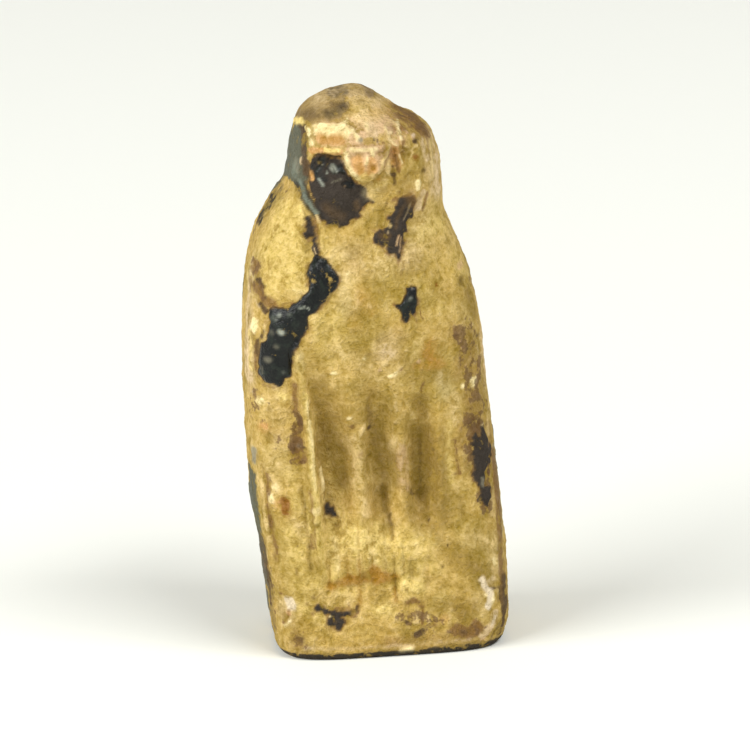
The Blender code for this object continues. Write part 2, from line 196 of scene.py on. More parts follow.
# Round bumps and hollows: (x, height, half width, half height, lift)
FINE_BUMPS = (
    # tops of the legs
    (-1.18, 10.42, 0.16, 0.14, 0.10), (-0.66, 9.78, 0.17, 0.17, 0.14), (-0.94, 10.05, 0.20, 0.20, -0.10),
    (1.35, 10.30, 0.70, 0.50, 0.06),
    # the face
    (1.95, 21.80, 0.24, 0.24, -0.12), (-1.30, 21.25, 0.55, 0.30, -0.14), (0.20, 21.00, 0.24, 0.20, -0.06),
    (0.00, 22.16, 0.22, 0.12, -0.07), (0.50, 22.12, 0.20, 0.12, -0.07), (-0.30, 22.55, 0.35, 0.28, 0.05),
    (0.90, 22.50, 0.45, 0.30, 0.07), (1.50, 20.40, 0.60, 0.35, 0.08),
    # the left flank, the base, and the right wing and the breast
    (-4.30, 9.60, 0.45, 0.50, 0.07), (-4.45, 11.20, 0.35, 0.35, 0.08), (-3.95, 11.00, 0.30, 0.45, 0.07),
    (-4.05, 10.20, 0.25, 0.30, -0.06), (-3.95, 7.80, 0.35, 0.30, 0.05), (-4.11, 6.70, 0.24, 0.30, -0.08),
    (-3.77, 0.85, 0.50, 0.40, -0.05), (3.10, 12.20, 0.60, 0.90, 0.06), (2.20, 12.75, 0.50, 0.32, -0.06),
    (-0.60, 14.10, 1.20, 0.80, 0.04), (0.55, 12.60, 0.50, 0.40, 0.04),
)
RIGHT_ORBIT = (1.95, 21.78, 0.43, 0.10, 0.07)   # x, height, radius, half width and lift of the worn eye ring
BEAK_RIM = 0.86        # where the rim line runs, as a share of the way from the beak's middle to its edge
BEAK_RIM_HALF = 0.13
BEAK_RIM_HEIGHT = 0.07

# ---- materials, as sRGB hex -------------------------------------------------------------------------
# the bare core
SAND = "#BE9F56"
SAND_OLIVE = "#A2883F"
SAND_PALE = "#CCB272"
# dirt and painted shade in the hollows
HOLLOW_DIRT_AND_SHADE = "#7D6428"
FLECK = "#664B2A"
# fresh and pale marks
CREAM = "#EBD69C"
YELLOW = "#E6CC7C"
PALE = "#CCB164"
BEIGE = "#CDB386"
BUFF = "#D2B678"
PINK = "#CBA87C"
CHIP_WHITE = "#D8C6A6"
# brown and dirty marks
TAN = "#C8985A"
ORANGE = "#A1772A"
RUST = "#875A20"
OCHRE = "#A9853A"
OLIVE = "#8A7030"
MOSS = "#70592A"
BROWN = "#7F5F31"
UMBER = "#523E27"
# also the painted contact shadow round the foot
SOOT_AND_SHADOW = "#262320"
# films, thin places in the glaze, and painted highlights on the shiny glaze
FILM_CAP = "#A3884F"
FILM_GREY = "#565848"
STONE = "#8C8670"
SLATE = "#7A8272"
PAINTED_HIGHLIGHT = "#A9AD9C"
# the glaze
BLACK = "#0F1211"
BOTTLE = "#262E25"
WORN_BLACK = "#373029"
# the studio
PAPER = "#F7F8F0"

# ---- remains of the glaze: outlines as (x, height) corners, and capsules as (x, height, x, height, radius at
# the first end, radius at the second) ------------------------------------------------------------------
GLOSSY_SHAPES = (
    ((-2.30, 17.42), (-2.05, 17.30), (-1.85, 17.10), (-1.60, 16.80), (-1.47, 16.45), (-1.54, 16.10),
     (-1.74, 15.80), (-2.05, 15.50), (-2.30, 15.25), (-2.50, 15.00), (-2.75, 14.90), (-2.80, 14.70),
     (-2.80, 14.35), (-2.95, 14.05), (-3.15, 13.80), (-3.40, 13.35), (-3.50, 13.00), (-3.55, 12.55),
     (-3.60, 12.25), (-3.87, 12.20), (-4.00, 11.90), (-4.10, 11.78), (-4.20, 11.85), (-4.30, 12.00),
     (-4.65, 12.00), (-4.85, 12.35), (-4.85, 13.00), (-4.80, 13.40), (-4.70, 13.70), (-4.50, 13.85),
     (-4.40, 14.10), (-4.25, 14.60), (-4.35, 14.80), (-4.32, 15.05), (-4.20, 15.30), (-3.95, 15.20),
     (-3.50, 15.25), (-3.25, 15.50), (-2.90, 15.75), (-2.70, 15.90), (-2.65, 16.10), (-2.60, 16.28),
     (-2.72, 16.50), (-2.75, 16.65), (-2.60, 17.00), (-2.45, 17.25)),
    ((1.39, 15.80), (1.52, 15.86), (1.74, 15.84), (1.80, 15.62), (1.79, 15.27), (1.72, 14.95), (1.66, 14.80),
     (1.58, 14.72), (1.48, 14.74), (1.43, 14.56), (1.34, 14.40), (1.23, 14.43), (1.13, 14.63), (1.08, 14.87),
     (1.02, 14.96), (0.86, 15.10), (0.92, 15.20), (1.07, 15.17), (1.25, 15.28), (1.30, 15.45)),
    ((-2.13, 21.36), (-1.86, 21.49), (-1.45, 21.32), (-1.06, 21.29), (-0.99, 20.95), (-0.81, 20.62),
     (-0.50, 20.27), (-0.18, 20.16), (-0.16, 19.95), (-0.61, 19.89), (-1.13, 19.90), (-1.57, 19.93),
     (-2.07, 19.87), (-2.26, 20.16), (-2.16, 20.58), (-2.30, 21.00)),
)
WORN_SHAPES = (
    ((-2.16, 21.38), (-1.86, 21.51), (-1.48, 21.33), (-1.06, 21.31), (-0.99, 20.96), (-0.81, 20.64),
     (-0.64, 20.34), (-0.21, 20.23), (-0.08, 19.95), (-0.14, 19.63), (0.11, 19.41), (-0.25, 19.31),
     (-0.39, 18.99), (-0.71, 18.88), (-0.93, 18.63), (-1.32, 18.52), (-1.70, 18.63), (-1.94, 18.86),
     (-2.11, 19.04), (-2.21, 19.41), (-2.26, 19.73), (-2.30, 20.22), (-2.17, 20.61), (-2.33, 21.00)),
    ((1.37, 19.74), (1.59, 19.69), (1.90, 19.57), (2.06, 19.57), (1.98, 19.14), (1.78, 18.71), (1.58, 18.33),
     (1.50, 18.01), (1.39, 17.70), (1.30, 17.39), (1.19, 17.07), (1.12, 16.96), (1.05, 17.16), (0.96, 17.31),
     (0.82, 17.26), (0.73, 17.47), (0.64, 17.62), (0.43, 17.66), (0.25, 17.77), (0.13, 17.88), (0.12, 18.12),
     (0.30, 18.29), (0.52, 18.36), (0.74, 18.51), (0.92, 18.68), (1.06, 19.01), (1.17, 19.32), (1.24, 19.58)),
    ((3.95, 8.90), (4.08, 9.30), (4.22, 8.98), (4.40, 9.55), (4.52, 9.10), (4.60, 8.90), (4.72, 8.30),
     (4.62, 7.70), (4.42, 7.50),
     (4.36, 7.25), (4.28, 6.96), (4.50, 6.88), (4.72, 6.82), (4.66, 6.40), (4.60, 5.95), (4.45, 6.10),
     (4.35, 6.12), (4.25, 6.45), (4.08, 6.40), (4.22, 6.62), (4.12, 6.92), (4.00, 7.22), (3.93, 7.57),
     (4.02, 7.85), (3.78, 8.10), (3.86, 8.45), (3.84, 8.90)),
)
WORN_GLAZE = (
    (-2.46, 18.75, -2.50, 18.25, 0.18, 0.19), (-2.32, 17.78, -2.28, 17.45, 0.22, 0.20),
    (-2.30, 6.42, -2.26, 6.36, 0.13, 0.12), (-2.05, 6.30, -2.03, 6.14, 0.08, 0.08),
    (-2.85, 2.25, -2.60, 2.15, 0.11, 0.08), (-2.60, 2.15, -2.27, 1.98, 0.08, 0.11),
    (-2.27, 1.98, -1.92, 1.60, 0.05, 0.10), (-2.20, 1.98, -1.86, 1.92, 0.06, 0.09),
    (-1.78, 1.98, -1.40, 2.02, 0.05, 0.12), (-2.45, 1.62, -2.44, 1.50, 0.12, 0.13),
    (-2.27, 2.00, -2.44, 1.60, 0.06, 0.05), (-2.08, 1.42, -2.05, 1.38, 0.09, 0.08),
)
# Thin films: (corners, colour).
FILMS = (
    (((-2.75, 22.45), (-2.35, 22.75), (-2.05, 22.68), (-1.55, 22.82), (-1.05, 22.95), (-0.90, 23.00),
      (-0.50, 23.20), (-0.45, 23.42), (-0.60, 23.48), (-0.55, 23.60), (-0.10, 23.62), (0.50, 23.52),
      (0.95, 23.42), (1.20, 23.22), (2.20, 23.60), (1.20, 24.60), (-2.60, 24.60), (-3.60, 22.60)), FILM_CAP),
    (((-3.90, 22.90), (-2.75, 22.62), (-2.45, 22.40), (-2.38, 22.00), (-2.40, 21.30), (-2.42, 20.60),
      (-2.50, 20.20), (-2.70, 20.10), (-2.95, 20.12), (-3.30, 20.25), (-3.90, 20.60)), FILM_GREY),
)
# The same kinds of remains on what isn't seen from the front. Flank capsules are (y, height over the
# floor, ...).
BACK_GLAZE = (
    (1.60, 19.90, 0.90, 19.30, 0.50, 0.36), (-1.30, 17.30, -1.90, 16.60, 0.30, 0.42),
    (-0.30, 12.60, -0.05, 11.10, 0.14, 0.22), (2.90, 6.60, 3.10, 5.70, 0.42, 0.30),
    (-3.10, 3.10, -2.20, 2.80, 0.26, 0.34), (-2.70, 21.60, -2.50, 20.90, 0.22, 0.30),
)
LEFT_FLANK_GLAZE = (
    (-0.90, 6.60, 2.60, 5.20, 0.60, 0.90), (-1.00, 3.40, 2.80, 3.00, 0.70, 0.90),
    (-0.20, 1.70, 1.60, 1.60, 0.50, 0.70), (1.40, 15.60, 1.90, 14.60, 0.42, 0.60),
    (0.20, 20.90, 0.90, 20.10, 0.50, 0.70),
)
RIGHT_FLANK_GLAZE = (
    (1.10, 17.20, 1.60, 16.20, 0.30, 0.44), (-0.60, 8.60, -0.20, 7.20, 0.40, 0.30),
    (2.10, 3.10, 1.50, 2.20, 0.42, 0.50),
)
# Where marks shrink away, and how fast: (y behind which they do, shrinking for each millimetre).
FRONT_WRAP, FILM_WRAP, EDGE_WRAP = (-1.5, 0.5), (0.6, 0.9), (0.3, 0.35)
CROWN_REACH = 2.5      # how much farther back marks reach on the crown, above the brow
CROWN_HEIGHTS = (22.0, 23.0)
# The same beside, by the share of the way to the front or back, and behind, by the share short of the back.
FLANK_WRAP, BACK_WRAP = (0.75, 1.6), (-0.6, 3.0)

# ---- wear -------------------------------------------------------------------------------------------
# Noise that pushes and frays the edges of the marks, as parts: (strength, size, seed).
NEAR_PUSH = ((0.035, 0.50, 11), (0.045, 0.20, 14))
FAR_PUSH = ((0.45, 1.3, 23), (0.225, 0.45, 26))
RAGGED = ((0.045, 0.35, 17), (0.035, 0.16, 18))
FRAYED = ((0.10, 0.30, 21), (0.07, 0.14, 22))
GLAZE_THICK = 0.07
FILM_THICK = 0.03
CRUST_THICK = 0.07
DROP_THICK = 0.15      # of the shiny drops on the shoulder and the breast, and how uneven they are
DROP_UNEVEN = 0.03
DROP_ROUNDS = 40       # rounds of averaging: over how wide a place a drop swells, and a hollow is felt
HOLLOW_ROUNDS = 120
HOLLOW_DEPTH = 0.42    # a place this much deeper than its neighbourhood gets the most dirt and painted shade
LUMP_HEIGHT, LUMP_SIZE = 0.045, 1.5
DENT_HEIGHT, DENT_SIZE = 0.034, 0.5
GRAIN_HEIGHT, GRAIN_SIZE = 0.026, 0.19
FOOT_GRAIN = 0.012     # added to the grain's height on the feet and the plinth
CRUMB_HEIGHT, CRUMB_SIZE = 0.07, 0.45
UNDERSIDE_GAP = 0.05   # how far the underside may rise off the floor inside its rim

# ---- brush strokes: ((x, height) points, radius, cover, softness of the edge, lift of the surface, colour).
# They lie over each other in this order, STAINS under the glaze and MARKS over it.
STAINS = (
    # broad differences of tone
    (((-4.95, 17.2), (-5.05, 15.6)), .2, .34, .2, 0, CREAM),
    (((-5.2, 13.2), (-5.25, 11.4)), .15, .34, .15, 0, BEIGE),
    (((-1.2, 16.3), (-1.1, 15.2)), .4, .34, .4, 0, CREAM),
    (((-3.1, 16.3), (-3.1, 15.9)), .25, .3, .25, 0, CREAM),
    (((-2.7, 2.6), (-1.6, 2.6)), .25, .34, .25, 0, CREAM),
    (((-0.6, 4.8), (-0.5, 4.3)), .25, .34, .3, 0, CREAM),
    (((-2.5, 7.0), (-2.4, 6.2)), .2, .34, .2, 0, CREAM),
    (((2.8, 11.8), (2.9, 11.2)), .3, .34, .3, 0, CREAM), (((0.4, 3.6), (0.5, 3.2)), .3, .34, .3, 0, YELLOW),
    (((4.7, 6.5), (4.75, 5.6)), .12, .34, .15, 0, BEIGE),
    (((2.2, 18.8), (2.3, 17.8), (3.2, 17.4)), .4, .34, .4, 0, BEIGE),
    (((-3.6, 6.0), (-3.5, 5.4)), .3, .3, .3, 0, BEIGE), (((2.4, 2.3),), .3, .3, .3, 0, YELLOW),
    (((2.7, 8.8), (2.7, 8.1)), .2, .3, .25, 0, PALE),
    (((-3.25, 13.2), (-3.2, 12.7)), .15, .34, .15, 0, CREAM),
    (((0.7, 8.9), (0.65, 7.5)), .25, .34, .25, 0, MOSS),
    (((-3.9, 0.6), (-3.5, 0.35)), .3, .34, .25, 0, UMBER),
    (((0.4, 2.6), (0.35, 2.2)), .25, .34, .25, 0, ORANGE),
    (((3.7, 8.7), (3.75, 7.8)), .25, .34, .2, 0, UMBER), (((0.5, 5.6),), .25, .34, .3, 0, OLIVE),
    (((1.6, 6.5), (1.55, 5.3)), .3, .34, .3, 0, OLIVE),
    (((-2.3, 12.1), (-2.2, 11.6)), .25, .34, .3, 0, OLIVE),
    (((-4.4, 10.1), (-4.3, 9.6)), .3, .3, .3, 0, BROWN),
    (((-0.3, 12.85), (0.8, 12.8), (1.9, 12.7)), .3, .34, .35, 0, OLIVE),
    (((0.9, 14.0),), .3, .3, .3, 0, OCHRE), (((-1.5, 6.6), (-1.55, 4.6)), .25, .34, .25, 0, OCHRE),
    (((3.9, 2.3), (4.0, 1.7)), .25, .34, .2, 0, BUFF), (((-0.3, 2.1), (0.1, 1.9)), .3, .34, .3, 0, YELLOW),
    (((-3.3, 2.1), (-2.9, 1.9)), .3, .34, .3, 0, PALE), (((-2.4, 0.9), (-1.0, 0.9)), .3, .34, .25, 0, PALE),
    (((0.9, 3.1), (1.1, 2.9)), .3, .34, .25, 0, YELLOW),
    (((-2.75, 10.6), (-2.7, 9.8)), .18, .34, .2, 0, PALE),
    (((-1.95, 9.0), (-1.8, 7.2)), .3, .3, .3, 0, PALE), (((-3.1, 6.0), (-3.0, 4.9)), .36, .65, .29, 0, PALE),
    (((0.37, 13.4), (0.47, 13.15)), .4, .57, .33, 0, BEIGE),
    (((4.5, 12.4), (4.5, 11.0)), .25, .34, .2, 0, BUFF), (((3.5, 14.6), (3.7, 13.9)), .35, .34, .3, 0, BUFF),
    (((2.6, 17.9), (3.2, 16.4)), .6, .3, .4, 0, YELLOW),
    (((-2.25, 17.65), (-2.12, 17.1)), .28, .53, .28, 0, PALE),
    (((-1.9, 8.2), (-1.8, 6.6)), .45, .34, .4, 0, PALE),
    (((1.12, 7.0), (1.08, 6.0)), .24, .56, .28, 0, OLIVE),
    (((2.1, 5.3), (2.25, 4.85)), .29, .56, .28, 0, OLIVE),
    (((-1.6, 14.6), (-1.5, 13.2)), .45, .34, .35, 0, PALE),
    (((2.8, 17.4), (3.5, 16.2)), .6, .34, .4, 0, PALE),
    (((-4.3, 2.1), (-4.2, 1.6)), .28, .34, .2, 0, BEIGE),
    (((-1.4, 0.95), (-0.8, 0.9)), .3, .3, .25, 0, PALE), (((4.75, 4.6), (4.75, 3.2)), .3, .5, .2, 0, BUFF),
    (((1.45, 12.3), (1.6, 12.0)), .3, .3, .3, 0, OLIVE),
    (((2.95, 20.9), (3.1, 19.4)), .4, .34, .3, 0, BEIGE),
    (((-2.0, 5.4), (-0.6, 5.2), (0.8, 5.0)), .6, .34, .4, 0, PALE),
    (((0.2, 8.3), (0.3, 7.6)), .25, .3, .3, 0, OLIVE),
    # the gaps between the toes
    (((-2.40, 4.3), (-2.42, 3.2)), .06, .6, .08, 0, ORANGE),
    (((-1.62, 5.4), (-1.62, 3.3)), .05, .75, .08, 0, OCHRE),
    (((-1.10, 5.8), (-1.12, 2.4)), .05, .75, .07, 0, OCHRE),
    (((-0.56, 4.8), (-0.55, 3.2)), .06, .6, .08, 0, OCHRE),
    (((0.03, 5.8), (0.00, 3.6)), .05, .75, .07, 0, OLIVE),
    (((0.76, 5.0), (0.77, 3.6)), .05, .75, .06, 0, OLIVE),
    (((-2.10, 5.2), (-2.05, 3.9)), .10, .5, .12, .02, CREAM),
    (((-1.36, 5.4), (-1.38, 4.0)), .09, .5, .10, .02, PALE),
    (((-0.82, 5.4), (-0.84, 3.9)), .09, .5, .10, .02, PALE),
    (((-0.27, 5.6), (-0.28, 4.1)), .10, .5, .10, .02, PALE),
    # smaller areas, paler or darker
    (((2.3, 15.6), (2.8, 15.0)), .5, .33, .4, 0, PALE), (((-2.0, 9.4), (-1.7, 8.0)), .4, .33, .4, 0, PALE),
    (((-3.3, 2.3), (-2.2, 2.5)), .5, .34, .4, 0, PALE),
    (((-0.4, 2.2), (1.1, 3.0)), .45, .34, .4, 0, YELLOW),
    (((0.0, 0.5), (1.8, 0.5), (3.6, 0.5)), .28, .34, .25, 0, BROWN),
    (((2.8, 18.6), (3.5, 16.4)), .80, .34, .5, 0, PALE),
    (((2.9, 22.0), (3.05, 19.6)), .35, .55, .3, 0, BEIGE),
    (((-1.2, 17.2), (0.2, 17.0), (1.6, 17.2)), .6, .34, .5, 0, BEIGE),
    (((0.6, 14.0), (1.0, 13.8)), .3, .2, .3, 0, BEIGE), (((-4.6, 8.4), (-4.5, 7.2)), .3, .5, .3, 0, BUFF),
    (((-3.9, 5.4), (-3.3, 4.6), (-2.6, 5.6)), .45, .35, .5, 0, PALE),
    (((-1.8, 6.0), (-1.5, 4.8)), .40, .5, .3, 0, PALE), (((-3.6, 3.4), (-2.8, 3.2)), .4, .45, .3, 0, PALE),
    (((-1.9, 3.0), (-1.0, 2.85)), .4, .34, .35, 0, YELLOW),
    (((-1.6, 5.2), (0.0, 4.6), (1.6, 4.6)), .6, .35, .5, 0, YELLOW),
    (((0.6, 2.8), (1.4, 2.9)), .3, .3, .35, 0, YELLOW), (((1.5, 3.9), (2.1, 3.7)), .3, .34, .35, 0, YELLOW),
    (((-2.6, 1.5), (-2.9, 1.3)), .3, .5, .25, 0, PALE), (((2.4, 2.1), (3.6, 1.8)), .35, .5, .3, 0, OLIVE),
    (((-4.3, 12.0), (-4.4, 10.4)), .3, .4, .25, 0, BUFF),
    # shoulders, breast and belly
    (((-3.2, 18.9), (-3.5, 17.8), (-3.3, 16.6)), .75, .75, .40, 0, PALE),
    (((-4.2, 17.6), (-4.3, 15.8)), .35, .6, .30, 0, PALE),
    (((-5.1, 18.0), (-5.3, 15.5), (-5.4, 12.0)), .26, .7, .14, 0, BEIGE),
    (((-1.9, 15.8), (-1.95, 14.3), (-2.4, 13.4)), .30, .34, .30, 0, PALE),
    (((-1.9, 17.9), (-1.5, 17.2)), .40, .4, .35, 0, PALE),
    (((0.1, 17.1), (0.6, 16.6)), .50, .34, .35, 0, PALE),
    (((2.1, 17.9), (2.9, 17.9)), .40, .3, .30, 0, PALE),
    (((-0.5, 15.8), (-0.2, 15.1)), .32, .45, .30, 0, OCHRE),
    (((2.9, 17.2), (3.1, 15.9)), .60, .35, .5, 0, OCHRE),
    (((-0.7, 15.4), (-0.9, 14.4)), .28, .35, .30, 0, OCHRE),
    (((2.3, 13.3), (2.2, 12.9), (2.5, 12.6)), .30, .6, .22, 0, ORANGE),
    (((1.65, 12.45), (2.2, 12.38), (2.8, 12.40)), .13, .8, .14, 0, OCHRE),
    (((2.0, 12.1), (2.9, 11.9)), .30, .4, .25, 0, OLIVE), (((-0.3, 13.15),), .11, .7, .10, 0, OLIVE),
    (((-2.2, 12.2), (-2.6, 11.4)), .24, .25, .3, 0, OLIVE),
    (((-2.6, 11.8), (-2.5, 11.2)), .16, .3, .15, 0, OLIVE),
    (((-2.35, 11.1), (-2.3, 10.6)), .26, .3, .20, 0, OLIVE), (((-1.75, 10.3),), .11, .7, .10, 0, OLIVE),
    (((-0.3, 11.4), (-0.4, 10.7), (-0.45, 10.2)), .14, .5, .15, 0, OLIVE),
    (((1.97, 11.7), (1.83, 11.3)), .05, .8, .05, -.03, BROWN),
    (((1.75, 11.0), (1.9, 10.3)), .25, .5, .20, 0, OLIVE),
    (((0.7, 11.9), (0.78, 10.9), (0.72, 10.1)), .13, .5, .12, .03, BUFF),
    (((2.7, 14.6), (3.2, 14.3)), .4, .2, .3, 0, PALE),
    (((-1.6, 13.4), (-0.4, 12.4), (0.8, 12.3)), .40, .33, .35, 0, BUFF),
    (((-2.3, 14.8), (-2.5, 14.0)), .20, .3, .2, 0, YELLOW),
    # between the wings
    (((-1.8, 11.2), (-0.2, 10.8), (1.6, 10.6)), .6, .3, .5, 0, OLIVE),
    (((-1.6, 9.2), (1.6, 9.0)), 1.3, .3, .7, 0, OLIVE), (((-1.4, 7.6), (-0.2, 7.6)), .8, .1, .6, 0, OLIVE),
    (((-2.25, 10.2), (-2.05, 9.4), (-1.8, 8.7), (-1.62, 7.6)), .34, .7, .22, 0, OLIVE),
    (((-2.1, 8.85),), .07, .7, .06, 0, MOSS), (((-1.62, 7.75), (-1.55, 7.25)), .18, .3, .2, 0, MOSS),
    (((-1.12, 9.3), (-0.98, 8.6), (-0.9, 7.4), (-0.75, 6.2)), .26, .6, .2, 0, BUFF),
    (((-0.85, 8.7),), .13, .5, .12, 0, BROWN),
    (((-0.25, 10.4), (-0.1, 9.4), (0.05, 8.2), (0.12, 7.2), (0.25, 5.6)), .12, .3, .16, 0, MOSS),
    (((-0.42, 10.8), (-0.34, 9.8), (-0.22, 8.8)), .05, .5, .07, 0, MOSS),
    (((0.1, 6.9), (0.1, 6.2)), .15, .6, .12, 0, OLIVE),
    (((0.30, 6.0), (0.34, 5.0)), .07, .6, .07, -.03, MOSS),
    (((0.62, 9.4), (0.62, 8.9)), .18, .55, .15, 0, BUFF),
    (((0.95, 8.8), (0.95, 7.2)), .22, .35, .15, 0, PINK),
    (((2.2, 9.4), (2.3, 8.0), (2.3, 6.8), (2.5, 5.8)), .45, .55, .30, 0, OLIVE),
    (((1.75, 9.1), (1.72, 8.4), (1.70, 7.6), (1.66, 6.9)), .05, .45, .07, -.03, MOSS),
    (((1.66, 6.9), (1.95, 6.2)), .12, .7, .12, 0, OLIVE),
    (((2.1, 9.6), (2.35, 8.2), (2.4, 6.6)), .26, .45, .22, 0, OLIVE),
    (((1.28, 7.05), (1.30, 6.85), (1.55, 6.75)), .05, .85, .05, -.03, MOSS),
    (((1.35, 7.18),), .07, .6, .07, 0, OLIVE), (((1.93, 5.78), (1.90, 5.62)), .04, .9, .04, -.05, UMBER),
    (((2.0, 6.7),), .1, .4, .1, 0, OLIVE), (((-2.0, 6.75),), .09, .6, .08, 0, OLIVE),
    (((-2.2, 6.3),), .26, .6, .14, -.04, OLIVE), (((-2.25, 5.95),), .09, .6, .08, 0, OLIVE),
    (((-1.95, 5.7),), .06, .9, .05, -.04, MOSS),
    # the pale edge of the left wing, lit along its crest with painted highlights, and the hollow beside it
    (((-3.33, 13.3), (-3.22, 12.75), (-3.12, 12.15), (-3.05, 11.5)), .10, .4, .10, .02, PALE),
    (((-3.05, 11.5), (-3.02, 10.85), (-2.93, 10.0), (-2.90, 8.5), (-2.84, 7.2),
      (-2.75, 6.0)), .11, .75, .12, .05, YELLOW),
    # narrow painted highlights along the crest of the wing edge
    (((-3.02, 11.2), (-2.94, 9.9), (-2.90, 8.6), (-2.85, 7.4)), .05, .7, .05, .02, CREAM),
    (((-2.53, 8.1), (-2.48, 7.15)), .07, .85, .05, .05, CREAM),
    (((-2.72, 7.0), (-2.60, 5.6), (-2.42, 4.4), (-2.3, 3.7)), .32, .65, .18, .03, PALE),
    (((-2.85, 6.5),), .16, .5, .1, 0, CREAM),
    (((-3.06, 7.4), (-3.03, 6.7), (-2.95, 5.8), (-2.98, 4.85)), .06, .6, .06, -.04, BROWN),
    (((-3.14, 4.9),), .08, .8, .07, 0, OLIVE), (((-3.48, 11.9), (-3.5, 10.7)), .13, .7, .10, -.02, BROWN),
    (((-3.36, 10.5), (-3.36, 10.0)), .10, .85, .08, -.03, UMBER),
    (((-3.37, 10.0), (-3.46, 9.5), (-3.50, 9.15)), .20, .85, .12, -.03, BROWN),
    (((-3.52, 9.15), (-3.42, 8.75)), .28, .85, .12, 0, BROWN), (((-3.66, 9.12),), .10, .8, .07, 0, UMBER),
    (((-3.22, 9.2),), .08, .8, .06, 0, UMBER), (((-3.36, 9.9),), .08, .8, .08, 0, UMBER),
    (((-3.42, 9.28),), .08, .8, .07, .02, STONE), (((-3.3, 8.6),), .12, .6, .10, 0, BROWN),
    # the left flank below the glaze
    (((-4.9, 11.15),), .16, .8, .10, .06, CREAM), (((-3.95, 11.4),), .20, .7, .15, .04, YELLOW),
    (((-4.5, 10.8),), .14, .6, .10, 0, OLIVE), (((-5.1, 11.5), (-5.1, 11.2)), .08, .6, .08, 0, BROWN),
    (((-4.8, 10.0),), .22, .7, .18, 0, TAN), (((-4.4, 9.65),), .13, .6, .10, 0, OLIVE),
    (((-5.22, 8.9), (-5.25, 8.3)), .10, .7, .10, 0, STONE), (((-4.45, 7.45),), .14, .8, .08, .05, CREAM),
    (((-4.66, 7.0), (-4.62, 6.85)), .13, .85, .08, .06, CREAM),
    (((-3.75, 7.9), (-3.6, 6.2)), .22, .35, .2, 0, PALE),
    (((-4.12, 6.9), (-4.08, 6.4)), .18, .95, .12, -.04, RUST), (((-4.38, 6.7),), .16, .5, .15, 0, TAN),
    (((-4.76, 8.0), (-4.75, 7.3), (-4.8, 6.6), (-4.7, 5.7), (-4.6, 5.1),
      (-4.52, 4.2)), .08, .75, .07, -.03, BROWN),
    (((-4.97, 8.4), (-4.98, 7.0), (-4.88, 5.6), (-4.75, 4.7)), .07, .75, .05, .02, BUFF),
    (((-4.1, 10.6), (-4.3, 8.6)), .30, .35, .25, 0, BUFF),
    (((-4.0, 5.6), (-3.7, 3.9)), .3, .4, .25, 0, PALE),
    # the base, left
    (((-4.95, 4.0), (-4.85, 3.2)), .09, .7, .08, 0, BROWN),
    (((-4.90, 3.5), (-4.82, 1.8), (-4.76, 0.9)), .11, .8, .08, 0, UMBER),
    (((-1.8, 3.3), (-1.0, 3.42), (0.1, 3.35)), .20, .5, .16, -.02, BROWN),
    (((-1.62, 3.45),), .20, .7, .12, -.02, ORANGE), (((-1.28, 3.48),), .13, .7, .12, 0, ORANGE),
    (((-2.33, 3.17),), .15, .9, .10, 0, ORANGE),
    (((-2.4, 3.15), (-1.6, 3.4), (-1.2, 3.4), (-0.3, 3.45), (0.4, 3.35)), .20, .6, .18, 0, ORANGE),
    (((-0.52, 3.72), (-0.28, 3.38)), .26, .9, .12, -.02, ORANGE),
    (((-1.15, 3.0), (-1.15, 2.3)), .10, .6, .10, 0, OCHRE), (((-2.3, 4.6),), .12, .5, .10, 0, OLIVE),
    (((0.35, 3.4),), .10, .7, .08, 0, ORANGE), (((0.37, 2.95), (0.37, 2.35)), .08, .7, .09, 0, ORANGE),
    (((-2.7, 2.6), (-1.4, 2.6), (0.4, 2.7)), .40, .25, .35, 0, ORANGE),
    (((-3.8, 0.75),), .20, .8, .16, -.03, UMBER), (((-3.9, 1.1), (-3.82, 0.5)), .16, .5, .14, 0, BROWN),
    (((-3.15, 2.0),), .12, .6, .10, 0, BROWN), (((-3.1, 5.4), (-3.1, 4.75)), .05, .7, .05, 0, BROWN),
    (((-2.3, 1.95), (-1.6, 1.9)), .25, .25, .2, 0, BROWN), (((0.2, 4.65),), .08, .8, .06, 0, OLIVE),
    (((1.0, 4.2),), .09, .5, .08, 0, OCHRE), (((1.85, 4.2),), .07, .7, .06, 0, OLIVE),
    (((-3.6, 1.6), (-2.9, 1.0), (-1.0, 0.7), (0.2, 0.7)), .35, .3, .3, 0, OCHRE),
    # the base, right
    (((2.9, 4.2), (3.6, 3.7), (4.2, 3.2)), .42, .55, .35, 0, OLIVE),
    (((3.6, 4.8), (4.3, 4.6)), .30, .4, .25, .03, BUFF), (((3.1, 1.9), (3.2, 1.3)), .2, .5, .2, 0, OLIVE),
    (((3.1, 1.45),), .10, .7, .08, 0, OLIVE), (((2.9, 1.85),), .08, .7, .08, 0, OLIVE),
    (((2.9, 0.9), (3.4, 0.7), (3.8, 0.85)), .30, .85, .16, 0, BROWN),
    (((3.7, 1.2), (3.9, 1.0)), .12, .7, .10, 0, BROWN), (((3.2, 0.75),), .14, .7, .10, -.03, UMBER),
    (((2.4, 1.4),), .2, .4, .18, 0, TAN),
    (((0.85, 2.2), (1.15, 2.35), (1.45, 2.1)), .13, .85, .08, 0, BROWN),
    (((1.5, 2.0), (1.5, 1.7), (1.45, 1.2)), .07, .8, .06, 0, BROWN),
    (((1.45, 0.9), (1.2, 0.8)), .16, .85, .10, -.02, UMBER), (((1.98, 1.2),), .10, .7, .08, 0, BROWN),
    (((0.8, 1.35),), .11, .8, .08, 0, UMBER), (((0.87, 2.8),), .09, .85, .06, -.05, OLIVE),
    (((2.7, 4.65), (2.7, 4.52)), .04, .9, .03, -.04, MOSS), (((3.05, 4.45),), .06, .7, .05, -.03, OLIVE),
    (((2.4, 3.7),), .06, .9, .05, -.04, MOSS),
    (((5.0, 8.4), (5.12, 6.4), (5.2, 4.6)), .10, .5, .08, 0, STONE),
    (((4.9, 8.2), (5.02, 6.2), (5.05, 4.6), (5.0, 2.9), (4.98, 1.8)), .13, .75, .08, 0, BROWN),
    (((4.95, 2.0), (4.95, 1.2)), .06, .5, .07, 0, UMBER),
